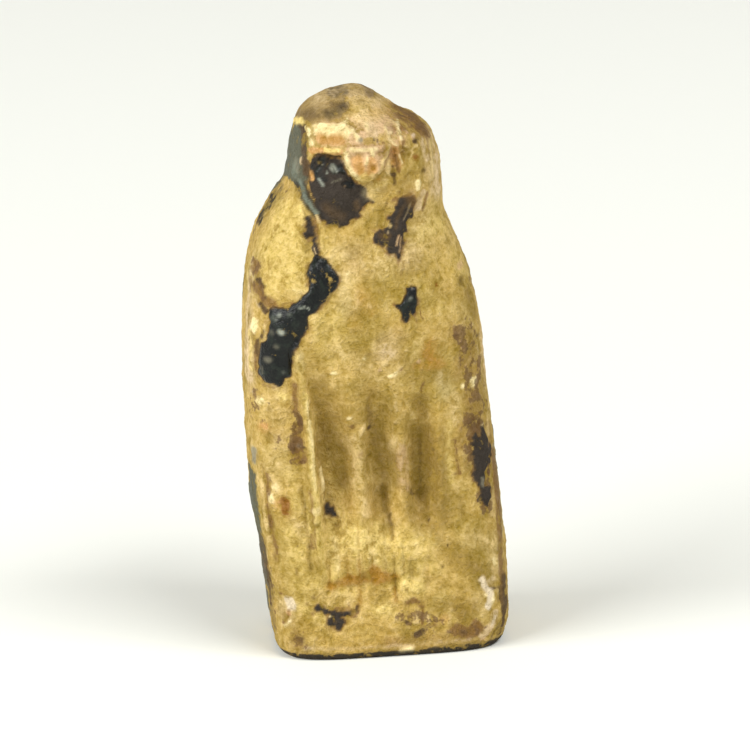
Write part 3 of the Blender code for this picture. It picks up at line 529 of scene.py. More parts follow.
    (((4.25, 2.75), (4.6, 2.85)), .13, .5, .12, 0, BEIGE),
    # the right strip
    (((3.55, 13.7), (3.8, 13.3), (3.7, 12.6), (3.95, 12.0)), .36, .25, .3, 0, BROWN),
    (((4.1, 13.6), (4.15, 12.8), (4.3, 12.1)), .28, .25, .22, 0, BROWN),
    (((4.75, 13.6), (4.8, 12.4), (4.85, 11.4)), .16, .7, .10, 0, PINK),
    (((3.5, 12.4), (3.4, 11.8)), .22, .3, .25, 0, BROWN),
    (((4.3, 11.9), (4.35, 11.0), (4.3, 10.2)), .26, .35, .2, 0, BROWN),
    (((3.85, 11.0), (3.9, 10.4), (3.9, 9.8)), .24, .4, .2, 0, BROWN),
    (((3.45, 9.9), (3.55, 9.3), (3.45, 8.8)), .15, .5, .15, 0, BROWN),
    (((4.0, 9.7), (4.3, 9.5)), .30, .6, .15, 0, UMBER), (((4.75, 9.5), (4.8, 8.0)), .12, .5, .10, 0, BROWN),
    (((4.62, 7.9), (4.68, 7.4)), .08, .8, .07, 0, UMBER),
    (((3.07, 9.1), (3.3, 9.08)), .07, .7, .06, 0, BROWN),
    (((3.22, 9.0), (3.26, 8.2), (3.3, 7.7)), .07, .75, .06, 0, BROWN),
    (((3.02, 7.68), (3.35, 7.64)), .06, .7, .05, 0, BROWN),
    (((3.2, 10.9), (3.3, 10.0)), .24, .6, .16, 0, BUFF),
    (((2.95, 9.9), (2.9, 8.5), (2.95, 7.4)), .14, .6, .12, 0, PALE),
    (((3.15, 7.3), (3.2, 6.9)), .1, .5, .1, 0, BUFF), (((3.3, 6.6), (3.35, 5.9)), .12, .4, .12, 0, OLIVE),
    (((4.7, 9.9), (4.72, 9.0)), .07, .5, .06, 0, BUFF),
    (((4.05, 15.3), (4.2, 14.6), (4.35, 14.1)), .13, .55, .12, 0, OLIVE),
    (((4.35, 16.0), (4.6, 14.6)), .08, .5, .08, 0, PINK), (((3.85, 16.35),), .14, .6, .10, 0, PINK),
    (((3.3, 14.0), (3.35, 13.7)), .12, .6, .1, 0, BROWN),
)
MARKS = (
    # broad differences of tone on the head
    (((0.2, 19.9),), .32, .34, .3, 0, CREAM), (((1.3, 20.9), (1.2, 20.6)), .25, .34, .25, 0, PALE),
    (((0.15, 21.1), (0.15, 20.8)), .2, .3, .15, 0, ORANGE),
    (((-0.6, 23.6), (0.7, 23.4)), .25, .34, .2, 0, BEIGE),
    (((-1.9, 23.2), (-1.4, 23.5)), .2, .3, .2, 0, BEIGE),
    # the paler, warmer ground of the face, and the crown
    (((-1.6, 22.3), (-0.4, 22.5), (0.9, 22.8)), .42, .8, .25, 0, PINK),
    (((1.1, 22.4), (1.4, 22.0)), .30, .6, .2, 0, PINK),
    (((1.42, 22.5), (2.1, 22.45), (2.5, 22.1)), .30, .6, .2, 0, BROWN),
    (((1.45, 22.42),), .15, .4, .12, 0, RUST), (((1.2, 21.6), (1.3, 21.0)), .24, .6, .15, 0, TAN),
    (((-0.4, 21.5), (0.4, 21.4)), .60, .85, .2, 0, PINK),
    (((0.85, 21.7), (0.8, 21.3)), .2, .6, .15, 0, BROWN),
    (((1.75, 19.7), (1.9, 19.3)), .25, .5, .2, 0, BROWN),
    (((-0.2, 22.9), (0.9, 23.0)), .22, .7, .2, 0, BUFF), (((0.3, 22.4),), .3, .6, .2, 0, BEIGE),
    (((-1.2, 23.35), (-0.75, 23.3)), .10, .7, .08, -.02, UMBER),
    (((-0.65, 23.25),), .07, .7, .06, 0, UMBER), (((-1.8, 22.95),), .08, .7, .06, 0, UMBER),
    (((-1.45, 23.1),), .08, .6, .06, 0, UMBER), (((-1.2, 23.62), (-0.5, 23.72)), .07, .6, .07, 0, SOOT_AND_SHADOW),
    (((-0.9, 23.75),), .07, .7, .06, .02, BEIGE), (((-1.1, 23.65),), .05, .6, .05, 0, BEIGE),
    (((-1.7, 23.5),), .08, .6, .07, 0, BEIGE), (((0.3, 23.6), (0.9, 23.5)), .08, .5, .07, 0, UMBER),
    (((-2.2, 22.95), (-1.5, 23.1), (-0.75, 23.32)), .24, .5, .2, 0, MOSS),
    (((-1.5, 23.02), (-1.0, 23.1), (-0.75, 23.3)), .14, .5, .14, 0, SOOT_AND_SHADOW),
    (((-2.5, 22.85), (-2.0, 23.0)), .15, .5, .12, 0, UMBER),
    (((0.6, 23.75), (1.1, 23.6)), .12, .6, .1, 0, UMBER),
    # the plate between crown and brow
    (((-1.9, 22.42), (-0.8, 22.5)), .24, .9, .10, .02, CREAM),
    (((-1.85, 22.15), (-1.05, 22.15)), .19, .85, .12, -.02, TAN),
    (((-1.75, 22.12), (-1.05, 22.18)), .15, .55, .12, -.02, ORANGE),
    (((-0.85, 22.35),), .14, .6, .10, 0, BUFF), (((-0.7, 22.7),), .12, .8, .08, 0, BUFF),
    (((-1.55, 22.42),), .12, .6, .10, 0, CREAM),
    (((-2.34, 22.45), (-2.24, 22.2), (-2.15, 21.9)), .09, .95, .04, .06, CREAM),
    (((-2.0, 22.55),), .07, .7, .06, 0, BUFF),
    (((-1.78, 22.62), (-1.1, 22.62), (-0.68, 22.82)), .10, .85, .05, .05, CREAM),
    (((-0.5, 22.5), (-0.3, 22.2)), .09, .8, .06, .03, CREAM), (((0.1, 22.6),), .12, .7, .08, .03, CREAM),
    (((-2.80, 22.40), (-2.45, 22.66)), .10, .95, .05, .07, YELLOW),
    (((-2.55, 22.35), (-2.35, 22.6)), .04, .8, .04, -.03, UMBER),
    (((-2.45, 22.3), (-2.4, 21.9)), .06, .7, .05, 0, UMBER), (((-0.2, 22.15),), .09, .8, .06, -.03, STONE),
    (((0.35, 22.15),), .06, .9, .04, -.04, SOOT_AND_SHADOW), (((0.5, 22.08),), .05, .8, .04, 0, UMBER),
    (((0.72, 22.0),), .06, .7, .05, 0, BROWN),
    # a thin painted shadow line in the groove above the beak
    (((-0.95, 21.95), (-0.2, 21.98), (0.65, 21.95)), .04, .35, .05, -.03, BROWN),
    (((0.53, 21.65),), .10, .6, .08, -.02, BROWN),
    # brow and beak
    (((-2.2, 21.66), (-1.7, 21.70), (-1.1, 21.66)), .12, .9, .05, .03, TAN),
    (((-1.7, 21.74), (-1.15, 21.72)), .08, .9, .05, .02, YELLOW),
    (((-2.1, 21.45), (-1.6, 21.46), (-1.1, 21.43)), .05, .85, .04, -.03, UMBER),
    (((-0.42, 21.35), (-0.38, 20.95)), .24, .9, .10, -.02, TAN),
    (((-0.4, 21.25), (-0.3, 20.85)), .13, .5, .13, 0, ORANGE),
    (((0.15, 21.25), (0.2, 20.95)), .22, .8, .10, 0, TAN),
    (((-0.02, 21.5), (-0.08, 21.2)), .05, .7, .05, .03, CREAM), (((0.1, 20.8),), .14, .5, .10, 0, ORANGE),
    (((0.36, 20.42),), .17, .8, .10, 0, ORANGE), (((0.25, 21.0),), .11, .9, .07, -.04, ORANGE),
    (((-0.7, 21.82), (-0.1, 21.80), (0.4, 21.80)), .06, .8, .06, .04, CREAM),
    (((0.2, 21.75), (0.25, 21.52)), .08, .9, .05, .04, CREAM),
    (((-0.87, 21.65), (-0.82, 21.15), (-0.68, 20.8), (-0.4, 20.55)), .09, .9, .05, .05, CREAM),
    (((-0.4, 20.52), (0.0, 20.44), (0.35, 20.5)), .07, .5, .07, .04, YELLOW),
    (((0.5, 20.75), (0.62, 21.1), (0.85, 21.6), (0.93, 21.85)), .06, .85, .04, .04, BUFF),
    (((0.2, 20.65),), .12, .6, .08, 0, BUFF), (((1.24, 21.24), (1.30, 20.73)), .10, .9, .07, -.05, BROWN),
    (((1.09, 20.58), (1.08, 20.25)), .10, .95, .06, -.06, UMBER),
    (((0.92, 21.15), (0.85, 20.6), (0.72, 20.2)), .12, .75, .07, .03, BUFF),
    (((1.42, 21.3), (1.50, 20.95)), .035, .8, .03, .03, CREAM),
    (((0.9, 22.5), (1.0, 22.1), (1.3, 21.8)), .05, .6, .05, .03, CREAM),
    (((-0.95, 21.3), (-0.88, 21.0)), .04, .7, .03, 0, CREAM),
    # the right half of the face
    (((0.9, 22.55), (0.85, 22.25), (1.1, 22.05), (1.4, 22.2), (1.42, 22.5), (1.2, 22.66),
      (0.95, 22.6)), .05, .6, .05, .04, BUFF), (((1.45, 22.6), (1.5, 22.0)), .05, .8, .04, .04, CREAM),
    (((1.1, 22.3),), .07, .7, .05, .02, CREAM), (((1.59, 21.9), (1.57, 21.45)), .07, .8, .06, -.03, BROWN),
    (((2.14, 21.82),), .10, .85, .07, -.03, UMBER), (((2.1, 21.12),), .14, .75, .10, 0, RUST),
    (((1.5, 22.98), (2.1, 22.65), (2.5, 22.3), (2.8, 22.0)), .24, .75, .14, 0, BROWN),
    (((2.06, 22.04),), .11, .9, .05, .03, PINK), (((2.06, 22.06),), .06, .8, .04, 0, CHIP_WHITE),
    (((1.79, 22.23),), .07, .85, .05, .02, PINK),
    (((2.39, 21.8), (2.5, 21.3), (2.6, 20.93)), .10, .8, .06, .03, BEIGE),
    (((2.7, 21.9), (2.74, 20.9)), .06, .55, .05, 0, BROWN),
    (((2.86, 21.7), (2.9, 20.9)), .06, .4, .05, 0, OLIVE),
    (((1.65, 21.72), (1.85, 21.5), (2.0, 21.35), (1.9, 21.15)), .04, .7, .04, .03, BUFF),
    (((2.2, 21.65), (1.95, 21.55)), .04, .7, .03, .02, BUFF),
    (((1.5, 21.5), (1.75, 21.38)), .04, .6, .04, .02, BUFF),
    (((1.6, 20.5), (1.9, 20.58), (2.2, 20.5)), .06, .7, .06, -.02, OLIVE),
    (((2.45, 20.5),), .12, .85, .08, -.03, MOSS), (((0.4, 23.0), (1.2, 22.95)), .14, .5, .12, 0, OCHRE),
    (((2.14, 20.15), (2.13, 19.85)), .12, .85, .06, .04, CREAM),
    (((2.42, 20.1), (2.4, 19.9)), .06, .7, .05, .02, BUFF),
    (((2.36, 19.65), (2.2, 19.3), (2.1, 19.02)), .12, .8, .06, .05, BEIGE),
    (((2.55, 19.6), (2.42, 19.2), (2.28, 18.9)), .06, .8, .05, -.02, BROWN),
    (((0.6, 20.0), (1.0, 20.1), (1.6, 20.3)), .30, .5, .25, 0, OLIVE),
    (((1.3, 19.8),), .09, .8, .07, 0, BROWN), (((0.3, 20.2), (0.9, 20.3)), .1, .5, .1, 0, PALE),
    (((0.8, 19.4), (0.6, 19.0)), .08, .8, .06, -.02, OLIVE), (((0.15, 19.45),), .09, .8, .08, 0, UMBER),
    (((2.85, 21.6), (2.8, 20.2)), .1, .4, .1, 0, PALE),
    # chips and thin places in the glaze of the left eye and cheek, and painted highlights on the eye's shiny
    # glaze
    (((-2.75, 20.1), (-2.6, 19.7), (-2.32, 19.3), (-2.1, 19.05)), .22, .75, .08, 0, SOOT_AND_SHADOW),
    (((-2.4, 21.2), (-2.42, 20.6)), .08, .8, .06, 0, UMBER),
    (((-2.75, 20.3), (-2.6, 19.7), (-2.32, 19.3), (-2.14, 19.08)), .08, .8, .05, .03, SLATE),
    (((-2.86, 21.1), (-2.84, 20.7)), .10, .5, .10, 0, STONE),
    (((-1.38, 20.93), (-1.34, 20.88)), .12, .75, .09, -.03, PAINTED_HIGHLIGHT),
    (((-1.22, 20.75),), .05, .7, .04, 0, PAINTED_HIGHLIGHT), (((-1.65, 20.72),), .04, .7, .03, 0, PAINTED_HIGHLIGHT),
    (((-1.99, 20.46), (-1.83, 20.24)), .06, .7, .06, 0, PAINTED_HIGHLIGHT), (((-1.8, 21.05),), .04, .5, .03, 0, STONE),
    (((-2.27, 20.72), (-2.28, 20.45)), .06, .9, .06, .03, TAN), (((-1.9, 21.15),), .07, .6, .05, 0, OLIVE),
    (((-0.95, 20.2),), .04, .4, .03, 0, PINK), (((-1.45, 20.35), (-1.1, 20.5)), .03, .35, .04, 0, STONE),
    (((-2.6, 21.25), (-2.6, 21.05)), .05, .9, .03, .03, BEIGE),
    (((-2.48, 22.4), (-2.48, 21.3), (-2.5, 20.6)), .09, .85, .06, 0, UMBER),
    (((-2.98, 22.1), (-3.0, 21.2), (-2.98, 20.5)), .13, .7, .10, 0, SLATE),
    (((-1.7, 19.3), (-1.2, 18.95)), .20, .2, .2, 0, BROWN),
    (((-0.5, 19.5), (-0.45, 19.25)), .12, .25, .12, 0, BROWN),
    (((-2.85, 19.3), (-2.72, 18.95)), .07, .95, .03, .05, YELLOW),
    (((-2.15, 18.98), (-2.1, 18.7)), .05, .9, .03, .04, BUFF), (((0.75, 18.15),), .05, .7, .04, .02, BEIGE),
    (((0.62, 18.55), (0.85, 18.38)), .06, .7, .05, .02, BUFF),
    (((1.22, 18.0), (1.08, 17.6)), .035, .75, .03, 0, PINK),
    (((1.3, 17.9), (1.15, 17.3)), .03, .6, .03, 0, PINK),
    (((1.45, 19.2), (1.2, 18.7), (1.1, 18.3)), .07, .25, .10, 0, BROWN),
    (((0.45, 18.05), (0.75, 17.95)), .12, .3, .12, 0, BROWN),
    (((1.75, 19.3), (1.45, 18.6)), .03, .3, .04, .02, BEIGE),
    # left shoulder
    (((-2.38, 17.65), (-2.25, 17.4)), .04, .8, .03, .02, BEIGE), (((-2.1, 17.68),), .06, .7, .05, 0, BROWN),
    (((-2.66, 17.05), (-2.8, 16.65), (-2.78, 16.5)), .05, .8, .04, 0, OLIVE),
    (((-4.78, 16.9), (-4.72, 16.75)), .12, .9, .07, -.02, BROWN),
    (((-4.8, 16.55),), .17, .8, .10, 0, BROWN),
    (((-4.72, 16.25), (-4.6, 16.0)), .12, .95, .07, -.02, UMBER),
    (((-4.8, 15.9), (-4.6, 15.55), (-4.2, 15.38)), .20, .85, .12, 0, BROWN),
    (((-4.5, 15.6),), .08, .8, .06, 0, UMBER), (((-5.0, 16.6), (-5.02, 15.6)), .04, .6, .04, 0, BROWN),
    (((-4.7, 15.25), (-4.5, 15.05)), .13, .9, .07, 0, UMBER),
    (((-4.9, 15.35), (-4.8, 15.1)), .06, .5, .05, 0, BEIGE), (((-4.68, 16.65),), .05, .6, .04, 0, BUFF),
    # painted highlights and thin places in the big patch, and its crust
    (((-3.1, 15.22), (-2.9, 15.28)), .04, .8, .04, 0, PAINTED_HIGHLIGHT),
    (((-2.8, 15.25), (-2.7, 15.2)), .04, .7, .04, 0, PAINTED_HIGHLIGHT), (((-4.1, 14.75),), .10, .25, .08, 0, PAINTED_HIGHLIGHT),
    (((-3.88, 14.25),), .10, .9, .08, 0, PAINTED_HIGHLIGHT), (((-3.9, 14.9),), .08, .6, .08, 0, PAINTED_HIGHLIGHT),
    (((-4.25, 14.2),), .10, .3, .08, 0, STONE), (((-4.1, 13.65),), .10, .35, .08, 0, STONE),
    (((-4.45, 13.05),), .12, .5, .10, 0, STONE), (((-4.7, 12.7), (-4.68, 12.4)), .03, .5, .04, 0, STONE),
    (((-3.9, 12.5),), .07, .2, .06, 0, PAINTED_HIGHLIGHT), (((-3.5, 15.0),), .07, .2, .06, 0, PAINTED_HIGHLIGHT),
    (((-4.93, 14.55), (-5.02, 14.1)), .11, .9, .06, .07, CREAM),
    (((-4.6, 14.4), (-4.55, 13.95)), .07, .85, .05, .04, BUFF),
    (((-4.45, 14.58),), .10, .8, .06, .03, PINK),
    (((-4.88, 13.7), (-5.0, 13.0), (-4.98, 12.4)), .05, .7, .05, 0, BROWN),
    (((-5.15, 14.0), (-5.2, 12.4)), .06, .6, .05, 0, YELLOW),
    (((-4.7, 11.85), (-4.3, 11.78)), .07, .6, .06, 0, BROWN), (((1.5, 15.35),), .08, .4, .07, 0, PAINTED_HIGHLIGHT),
    # spots on the breast and the right wing
    (((1.88, 15.0), (2.0, 14.5)), .05, .7, .05, 0, BROWN),
    (((1.66, 14.62), (1.78, 14.3)), .04, .6, .04, 0, BROWN), (((1.28, 14.25),), .05, .6, .05, 0, OLIVE),
    (((1.35, 16.9), (1.15, 16.4)), .06, .7, .06, 0, OLIVE),
    (((1.4, 16.85), (2.0, 16.86)), .03, .5, .04, 0, OLIVE), (((1.0, 16.5),), .05, .5, .05, 0, OLIVE),
    (((0.0, 16.6),), .05, .7, .05, -.03, OLIVE), (((-1.9, 14.3),), .08, .7, .06, 0, OLIVE),
    (((-1.25, 15.35),), .06, .5, .05, 0, OLIVE), (((2.7, 15.88), (2.7, 15.78)), .05, .9, .04, -.03, RUST),
    (((2.5, 15.65),), .04, .7, .03, 0, OLIVE), (((3.85, 15.82), (3.88, 15.65)), .10, .9, .06, -.04, MOSS),
    (((3.65, 15.65),), .07, .6, .06, 0, OLIVE), (((0.3, 15.9), (0.2, 15.7)), .05, .5, .05, 0, OLIVE),
    (((-1.08, 16.62),), .07, .6, .06, .02, CREAM), (((-0.2, 15.25),), .10, .5, .08, .02, BUFF),
    (((-0.15, 14.85),), .08, .5, .07, 0, ORANGE), (((2.6, 14.9),), .06, .5, .05, 0, OLIVE),
    # light grains
    (((-1.88, 12.36), (-1.76, 12.36)), .07, .95, .05, .05, CREAM),
    (((-0.52, 12.95),), .08, .8, .06, .03, CREAM), (((0.4, 12.74), (0.3, 12.64)), .08, .8, .06, .03, BUFF),
    (((0.1, 12.4),), .08, .7, .06, .02, PINK), (((0.48, 12.08), (0.76, 12.2)), .06, .9, .05, .04, CREAM),
    (((1.22, 13.2),), .07, .7, .05, .02, BUFF), (((0.5, 12.55),), .06, .7, .05, -.03, OLIVE),
    (((1.02, 12.35),), .07, .6, .05, 0, BROWN), (((1.77, 12.62),), .09, .6, .07, 0, PINK),
    (((-1.25, 10.36),), .09, .95, .05, .05, CREAM), (((-1.13, 9.95),), .12, .75, .08, -.03, BROWN),
    (((-0.64, 9.92), (-0.84, 9.62)), .09, .95, .04, .06, BUFF),
    (((-0.42, 9.78),), .09, .85, .06, -.04, UMBER), (((2.29, 8.8),), .06, .9, .04, -.04, MOSS),
    (((-0.5, 8.6),), .06, .6, .05, 0, MOSS), (((4.1, 11.55), (4.12, 11.4)), .14, .95, .06, .04, CREAM),
    (((3.62, 11.36),), .10, .9, .06, .03, CREAM), (((4.42, 9.56),), .07, .85, .05, .03, CREAM),
    (((3.7, 13.05),), .08, .7, .06, .03, PINK), (((3.62, 13.35),), .06, .6, .05, .02, PINK),
    (((4.35, 13.1), (4.32, 12.65)), .05, .75, .05, .03, BUFF), (((4.2, 13.82),), .06, .7, .05, .02, BUFF),
    (((4.0, 12.45), (3.8, 12.25)), .06, .6, .05, .02, PINK), (((4.2, 12.15),), .05, .6, .05, .02, BUFF),
    (((4.2, 10.75),), .06, .5, .05, .02, BUFF), (((3.95, 12.85),), .08, .6, .06, -.03, UMBER),
    (((3.45, 13.6), (3.45, 13.3)), .08, .6, .06, -.02, UMBER), (((4.5, 13.3),), .10, .6, .08, -.02, UMBER),
    (((4.3, 6.95), (4.25, 7.3)), .07, .6, .06, .02, STONE), (((4.15, 6.45),), .07, .7, .05, 0, OLIVE),
    # spots and chips on the base
    (((-2.42, 1.86),), .05, .8, .04, .03, CREAM), (((-1.45, 1.95),), .12, .8, .08, -.02, OLIVE),
    (((-3.1, 2.65),), .09, .85, .06, -.04, OLIVE), (((-3.38, 2.4),), .09, .85, .06, -.04, OLIVE),
    (((-3.4, 3.25),), .06, .4, .05, 0, OLIVE), (((-3.68, 4.9),), .06, .9, .04, -.04, MOSS),
    (((-3.75, 3.95), (-3.75, 3.7)), .05, .85, .04, -.03, OLIVE),
    (((-4.12, 2.5), (-4.02, 2.25)), .19, .9, .09, -.06, CHIP_WHITE),
    (((-4.42, 2.75),), .08, .8, .06, 0, BROWN), (((-4.5, 2.3),), .10, .8, .07, -.05, BUFF),
    (((-4.15, 2.05), (-4.28, 1.7), (-4.35, 1.4)), .06, .8, .05, -.03, BROWN),
    (((-4.2, 1.9),), .10, .5, .08, 0, TAN), (((-4.1, 1.6), (-4.3, 1.3)), .04, .8, .03, .03, CREAM),
    (((1.2, 1.65), (1.2, 1.35)), .13, .8, .06, .05, BUFF),
    (((1.72, 1.55), (1.74, 1.35)), .10, .75, .06, .04, BUFF),
    (((0.5, 0.24), (1.0, 0.26)), .12, .85, .07, .05, BUFF),
    (((4.7, 3.7), (4.74, 3.5)), .06, .85, .04, -.05, CREAM),
    (((4.1, 2.95), (4.3, 2.5), (4.5, 2.25)), .14, .7, .10, .03, BEIGE),
    (((4.2, 2.3), (4.45, 2.22)), .07, .8, .06, .02, CREAM),
    (((4.52, 2.2), (4.5, 1.9)), .14, .85, .08, .03, CREAM),
    (((4.55, 1.05), (4.4, 0.75), (4.1, 0.45), (3.95, 0.25)), .09, .8, .06, -.06, PINK),
    (((4.85, 2.5), (4.85, 1.9)), .07, .6, .06, 0, UMBER),
    (((4.3, 2.6), (4.7, 2.45)), .07, .6, .06, 0, UMBER),
    (((4.85, 0.95), (4.4, 0.3)), .05, .6, .05, 0, UMBER),
    (((-3.5, 0.4), (-0.5, 0.38), (3.5, 0.4)), .08, .35, .08, 0, BEIGE),
)
EDGES = (
    # seen against the light, where the sides turn away
    (((4.62, 13.8), (4.72, 12.4), (4.80, 11.2), (4.90, 10.0)), .10, .6, .08, 0, BUFF),
    (((-3.44, 19.84), (-3.77, 19.43), (-4.21, 18.79), (-4.55, 18.21)), .07, .9, .05, 0, SOOT_AND_SHADOW),
    (((4.98, 8.2), (5.08, 6.2), (5.12, 4.6), (5.1, 2.9)), .08, .4, .08, 0, BROWN),
    (((5.12, 2.8), (5.12, 1.6), (5.02, 0.9), (4.8, 0.4)), .12, .85, .07, 0, UMBER),
    (((0.55, 0.15), (0.95, 0.18)), .13, .95, .06, .07, CREAM),
    (((4.05, 2.95), (4.25, 2.6), (4.5, 2.25)), .14, .85, .08, -.04, CHIP_WHITE),
    (((4.45, 2.2), (4.33, 1.7)), .13, .85, .07, -.04, CHIP_WHITE),
    (((4.62, 1.4), (4.52, 1.0), (4.2, 0.62), (4.0, 0.5)), .14, .9, .08, .03, BEIGE),
    (((4.6, 1.25), (4.45, 0.9)), .06, .8, .05, .02, CHIP_WHITE),
    (((-4.83, 13.7), (-4.93, 13.2)), .09, .7, .08, 0, UMBER),
    (((-4.6, 14.2), (-4.72, 13.9)), .07, .7, .06, 0, UMBER),
    (((-5.34, 7.8), (-5.28, 6.6), (-5.18, 5.5), (-5.06, 4.4), (-4.98, 3.0)), .10, .85, .06, 0, FILM_GREY),
    (((-5.02, 5.0), (-4.95, 3.4), (-4.90, 1.8), (-4.82, 0.9)), .08, .6, .08, 0, UMBER),
)

# Areas flecked with brown, as capsules with a strength.
MOTTLED = (
    (3.72, 13.70, 4.00, 12.60, 0.60, 0.62, 0.7), (4.05, 12.40, 4.30, 10.10, 0.55, 0.50, 0.7),
    (3.95, 9.90, 4.20, 8.40, 0.60, 0.55, 0.8), (4.30, 8.60, 4.45, 5.90, 0.45, 0.35, 0.8),
    (-4.70, 16.90, -4.72, 15.40, 0.22, 0.30, 0.6), (-3.46, 10.60, -3.52, 8.70, 0.26, 0.34, 0.8),
    (1.70, 22.90, 2.75, 22.00, 0.36, 0.40, 0.6), (1.40, 22.00, 1.10, 20.90, 0.26, 0.26, 0.4),
    (-4.40, 10.80, -4.60, 9.20, 0.45, 0.45, 0.35), (2.20, 0.95, 3.95, 0.80, 0.50, 0.45, 0.4),
    (0.80, 1.80, 2.10, 1.00, 0.50, 0.55, 0.55), (-3.80, 0.95, -3.60, 0.60, 0.36, 0.30, 0.5),
    (-4.85, 3.80, -4.70, 1.00, 0.20, 0.24, 0.5), (-4.70, 7.60, -4.60, 4.60, 0.30, 0.30, 0.4),
    (-5.00, 11.80, -5.10, 10.40, 0.24, 0.30, 0.5), (4.30, 15.60, 4.50, 14.00, 0.25, 0.25, 0.4),
)

# The patina as it is kept on the surface: distance fields, and shares and colours in 0 to 1.
PATINA = {"glaze": ("black", "gloss", "film"), "paint": ("red", "green", "blue"),
          "skin": ("cover", "hollow", "mottle")}
FIELDS = ("black", "film")
FIELD_REACH = 0.25     # how far on both sides of an edge a distance field is kept

# ---- camera -----------------------------------------------------------------------------------------
LENS_PER_METRE = 1124.2        # focal length in millimetres for each metre of distance
CAMERA_ROLL = math.radians(-2.5)
CAMERA_SHIFT = (0.008, -0.0181)
# Azimuth from the front, elevation, and width and height in metres.
LEFT_SOFTBOX = (math.radians(-63), math.radians(31), (0.66, 0.30))
RIGHT_SOFTBOX = (math.radians(39), math.radians(48), (0.46, 0.24))
SOFTBOX_DISTANCE = 0.80
# The paper, in metres: half its width, how far it reaches to the front and the back, and its bend's radius.
PAPER_SHEET = (1.2, 0.6, 0.7, 0.3)


def linear(code):
    """An sRGB hex colour as linear red, green and blue."""
    parts = [int(code[at:at + 2], 16) / 255 for at in (1, 3, 5)]
    return tuple(c / 12.92 if c <= 0.04045 else ((c + 0.055) / 1.055) ** 2.4 for c in parts)


# ---- curves and carving, as in the solid ------------------------------------------------------------
def through(stations, at):
    """Smooth curve through (place, value) stations: cubic pieces whose tangent at a station is the harmonic
    mean of the slopes on both sides, and level where those slopes change sign, so it never overshoots."""
    places, values = np.array(stations, dtype=float).T
    steps = np.diff(places)
    slopes = np.diff(values) / steps
    tangents = np.concatenate((slopes[:1], np.zeros(len(slopes) - 1), slopes[-1:]))
    before, after = slopes[:-1], slopes[1:]
    same_way = before * after > 0
    tangents[1:-1][same_way] = 2 * before[same_way] * after[same_way] / (before + after)[same_way]
    piece = np.clip(np.searchsorted(places, at, side="right") - 1, 0, len(steps) - 1)
    t = np.clip((at - places[piece]) / steps[piece], 0, 1)
    start, end = values[piece], values[piece + 1]
    leave, arrive = tangents[piece] * steps[piece], tangents[piece + 1] * steps[piece]
    return (start * (1 + 2 * t) * (1 - t) ** 2 + leave * t * (1 - t) ** 2
            + end * t * t * (3 - 2 * t) - arrive * t * t * (1 - t))


def outline(stations, heights):
    """An outline of the figure at some heights. The curve runs over the square root of the distance below
    the crown, in which a round crown is a straight line, so the sections close in a dome."""
    below = [(math.sqrt(max(0.0, 1 - height / FIGURE)), value) for height, value in reversed(stations)]
    return through(below, np.sqrt(np.clip(1 - heights / FIGURE, 0, 1)))


def ease(low, high, value):
    """0 below low, 1 above high, and a smooth S between."""
    t = np.clip((value - low) / (high - low), 0, 1)
    return t * t * (3 - 2 * t)


def hump(distance):
    """1 at distance 0, falling smoothly to 0 at distance 1."""
    return np.clip(1 - distance * distance, 0, None) ** 2


def stroke(x, z, stations, half):
    """A rounded ridge of height 1 whose middle climbs through (height, x) stations. It is half wide on each
    side and fades out round both ends."""
    low, high = stations[0][0], stations[-1][0]
    fade = ease(low - half, low + half, z) * (1 - ease(high - half, high + half, z))
    return fade * hump((x - through(stations, z)) / half)


def niche_and_legs(x, z):
    """A floor sunk between the wing edges; each leg is a rounded column on that floor, which spreads into
    a foot, and the toes are parted by short grooves."""
    left, right = through(NICHE_LEFT, z), through(NICHE_RIGHT, z)
    inside = ease(0, NICHE_WALL, x - left) * ease(0, NICHE_SLOPE, right - x)
    depth = -through(NICHE_DEPTH, z) * inside
    half, height = through(LEG_HALF, z), through(LEG_HEIGHT, z)
    for leg in (LEFT_LEG, RIGHT_LEG):
        depth = depth + height * hump((x - through(leg, z)) / half)
    low, high = TOE_SPAN
    toes = ease(low, low + TOE_FADES[0], z) * (1 - ease(high - TOE_FADES[1], high, z))
    for toe in TOE_LINES:
        depth = depth - TOE_DEPTH * toes * hump((x - toe) / TOE_HALF)
    return depth


def wings_and_breast(x, z):
    """The groove that parts the left wing from the breast, the raised wing edge below it, the worn edge of
    the right wing, and the swell of the breast."""
    breast_x, breast_z, half_width, half_height, bulge = BREAST
    depth = bulge * hump(np.hypot((x - breast_x) / half_width, (z - breast_z) / half_height))
    depth = depth - WING_GROOVE_DEPTH * stroke(x, z, WING_GROOVE, WING_GROOVE_HALF)
    depth = depth + WING_EDGE_HEIGHT * stroke(x, z, WING_EDGE, WING_EDGE_HALF)
    depth = depth - WING_TURN_DEPTH * stroke(x + WING_TURN, z, WING_EDGE[2:], WING_TURN_HALF)
    return depth - RIGHT_WING_DEPTH * stroke(x, z, RIGHT_WING, RIGHT_WING_HALF)


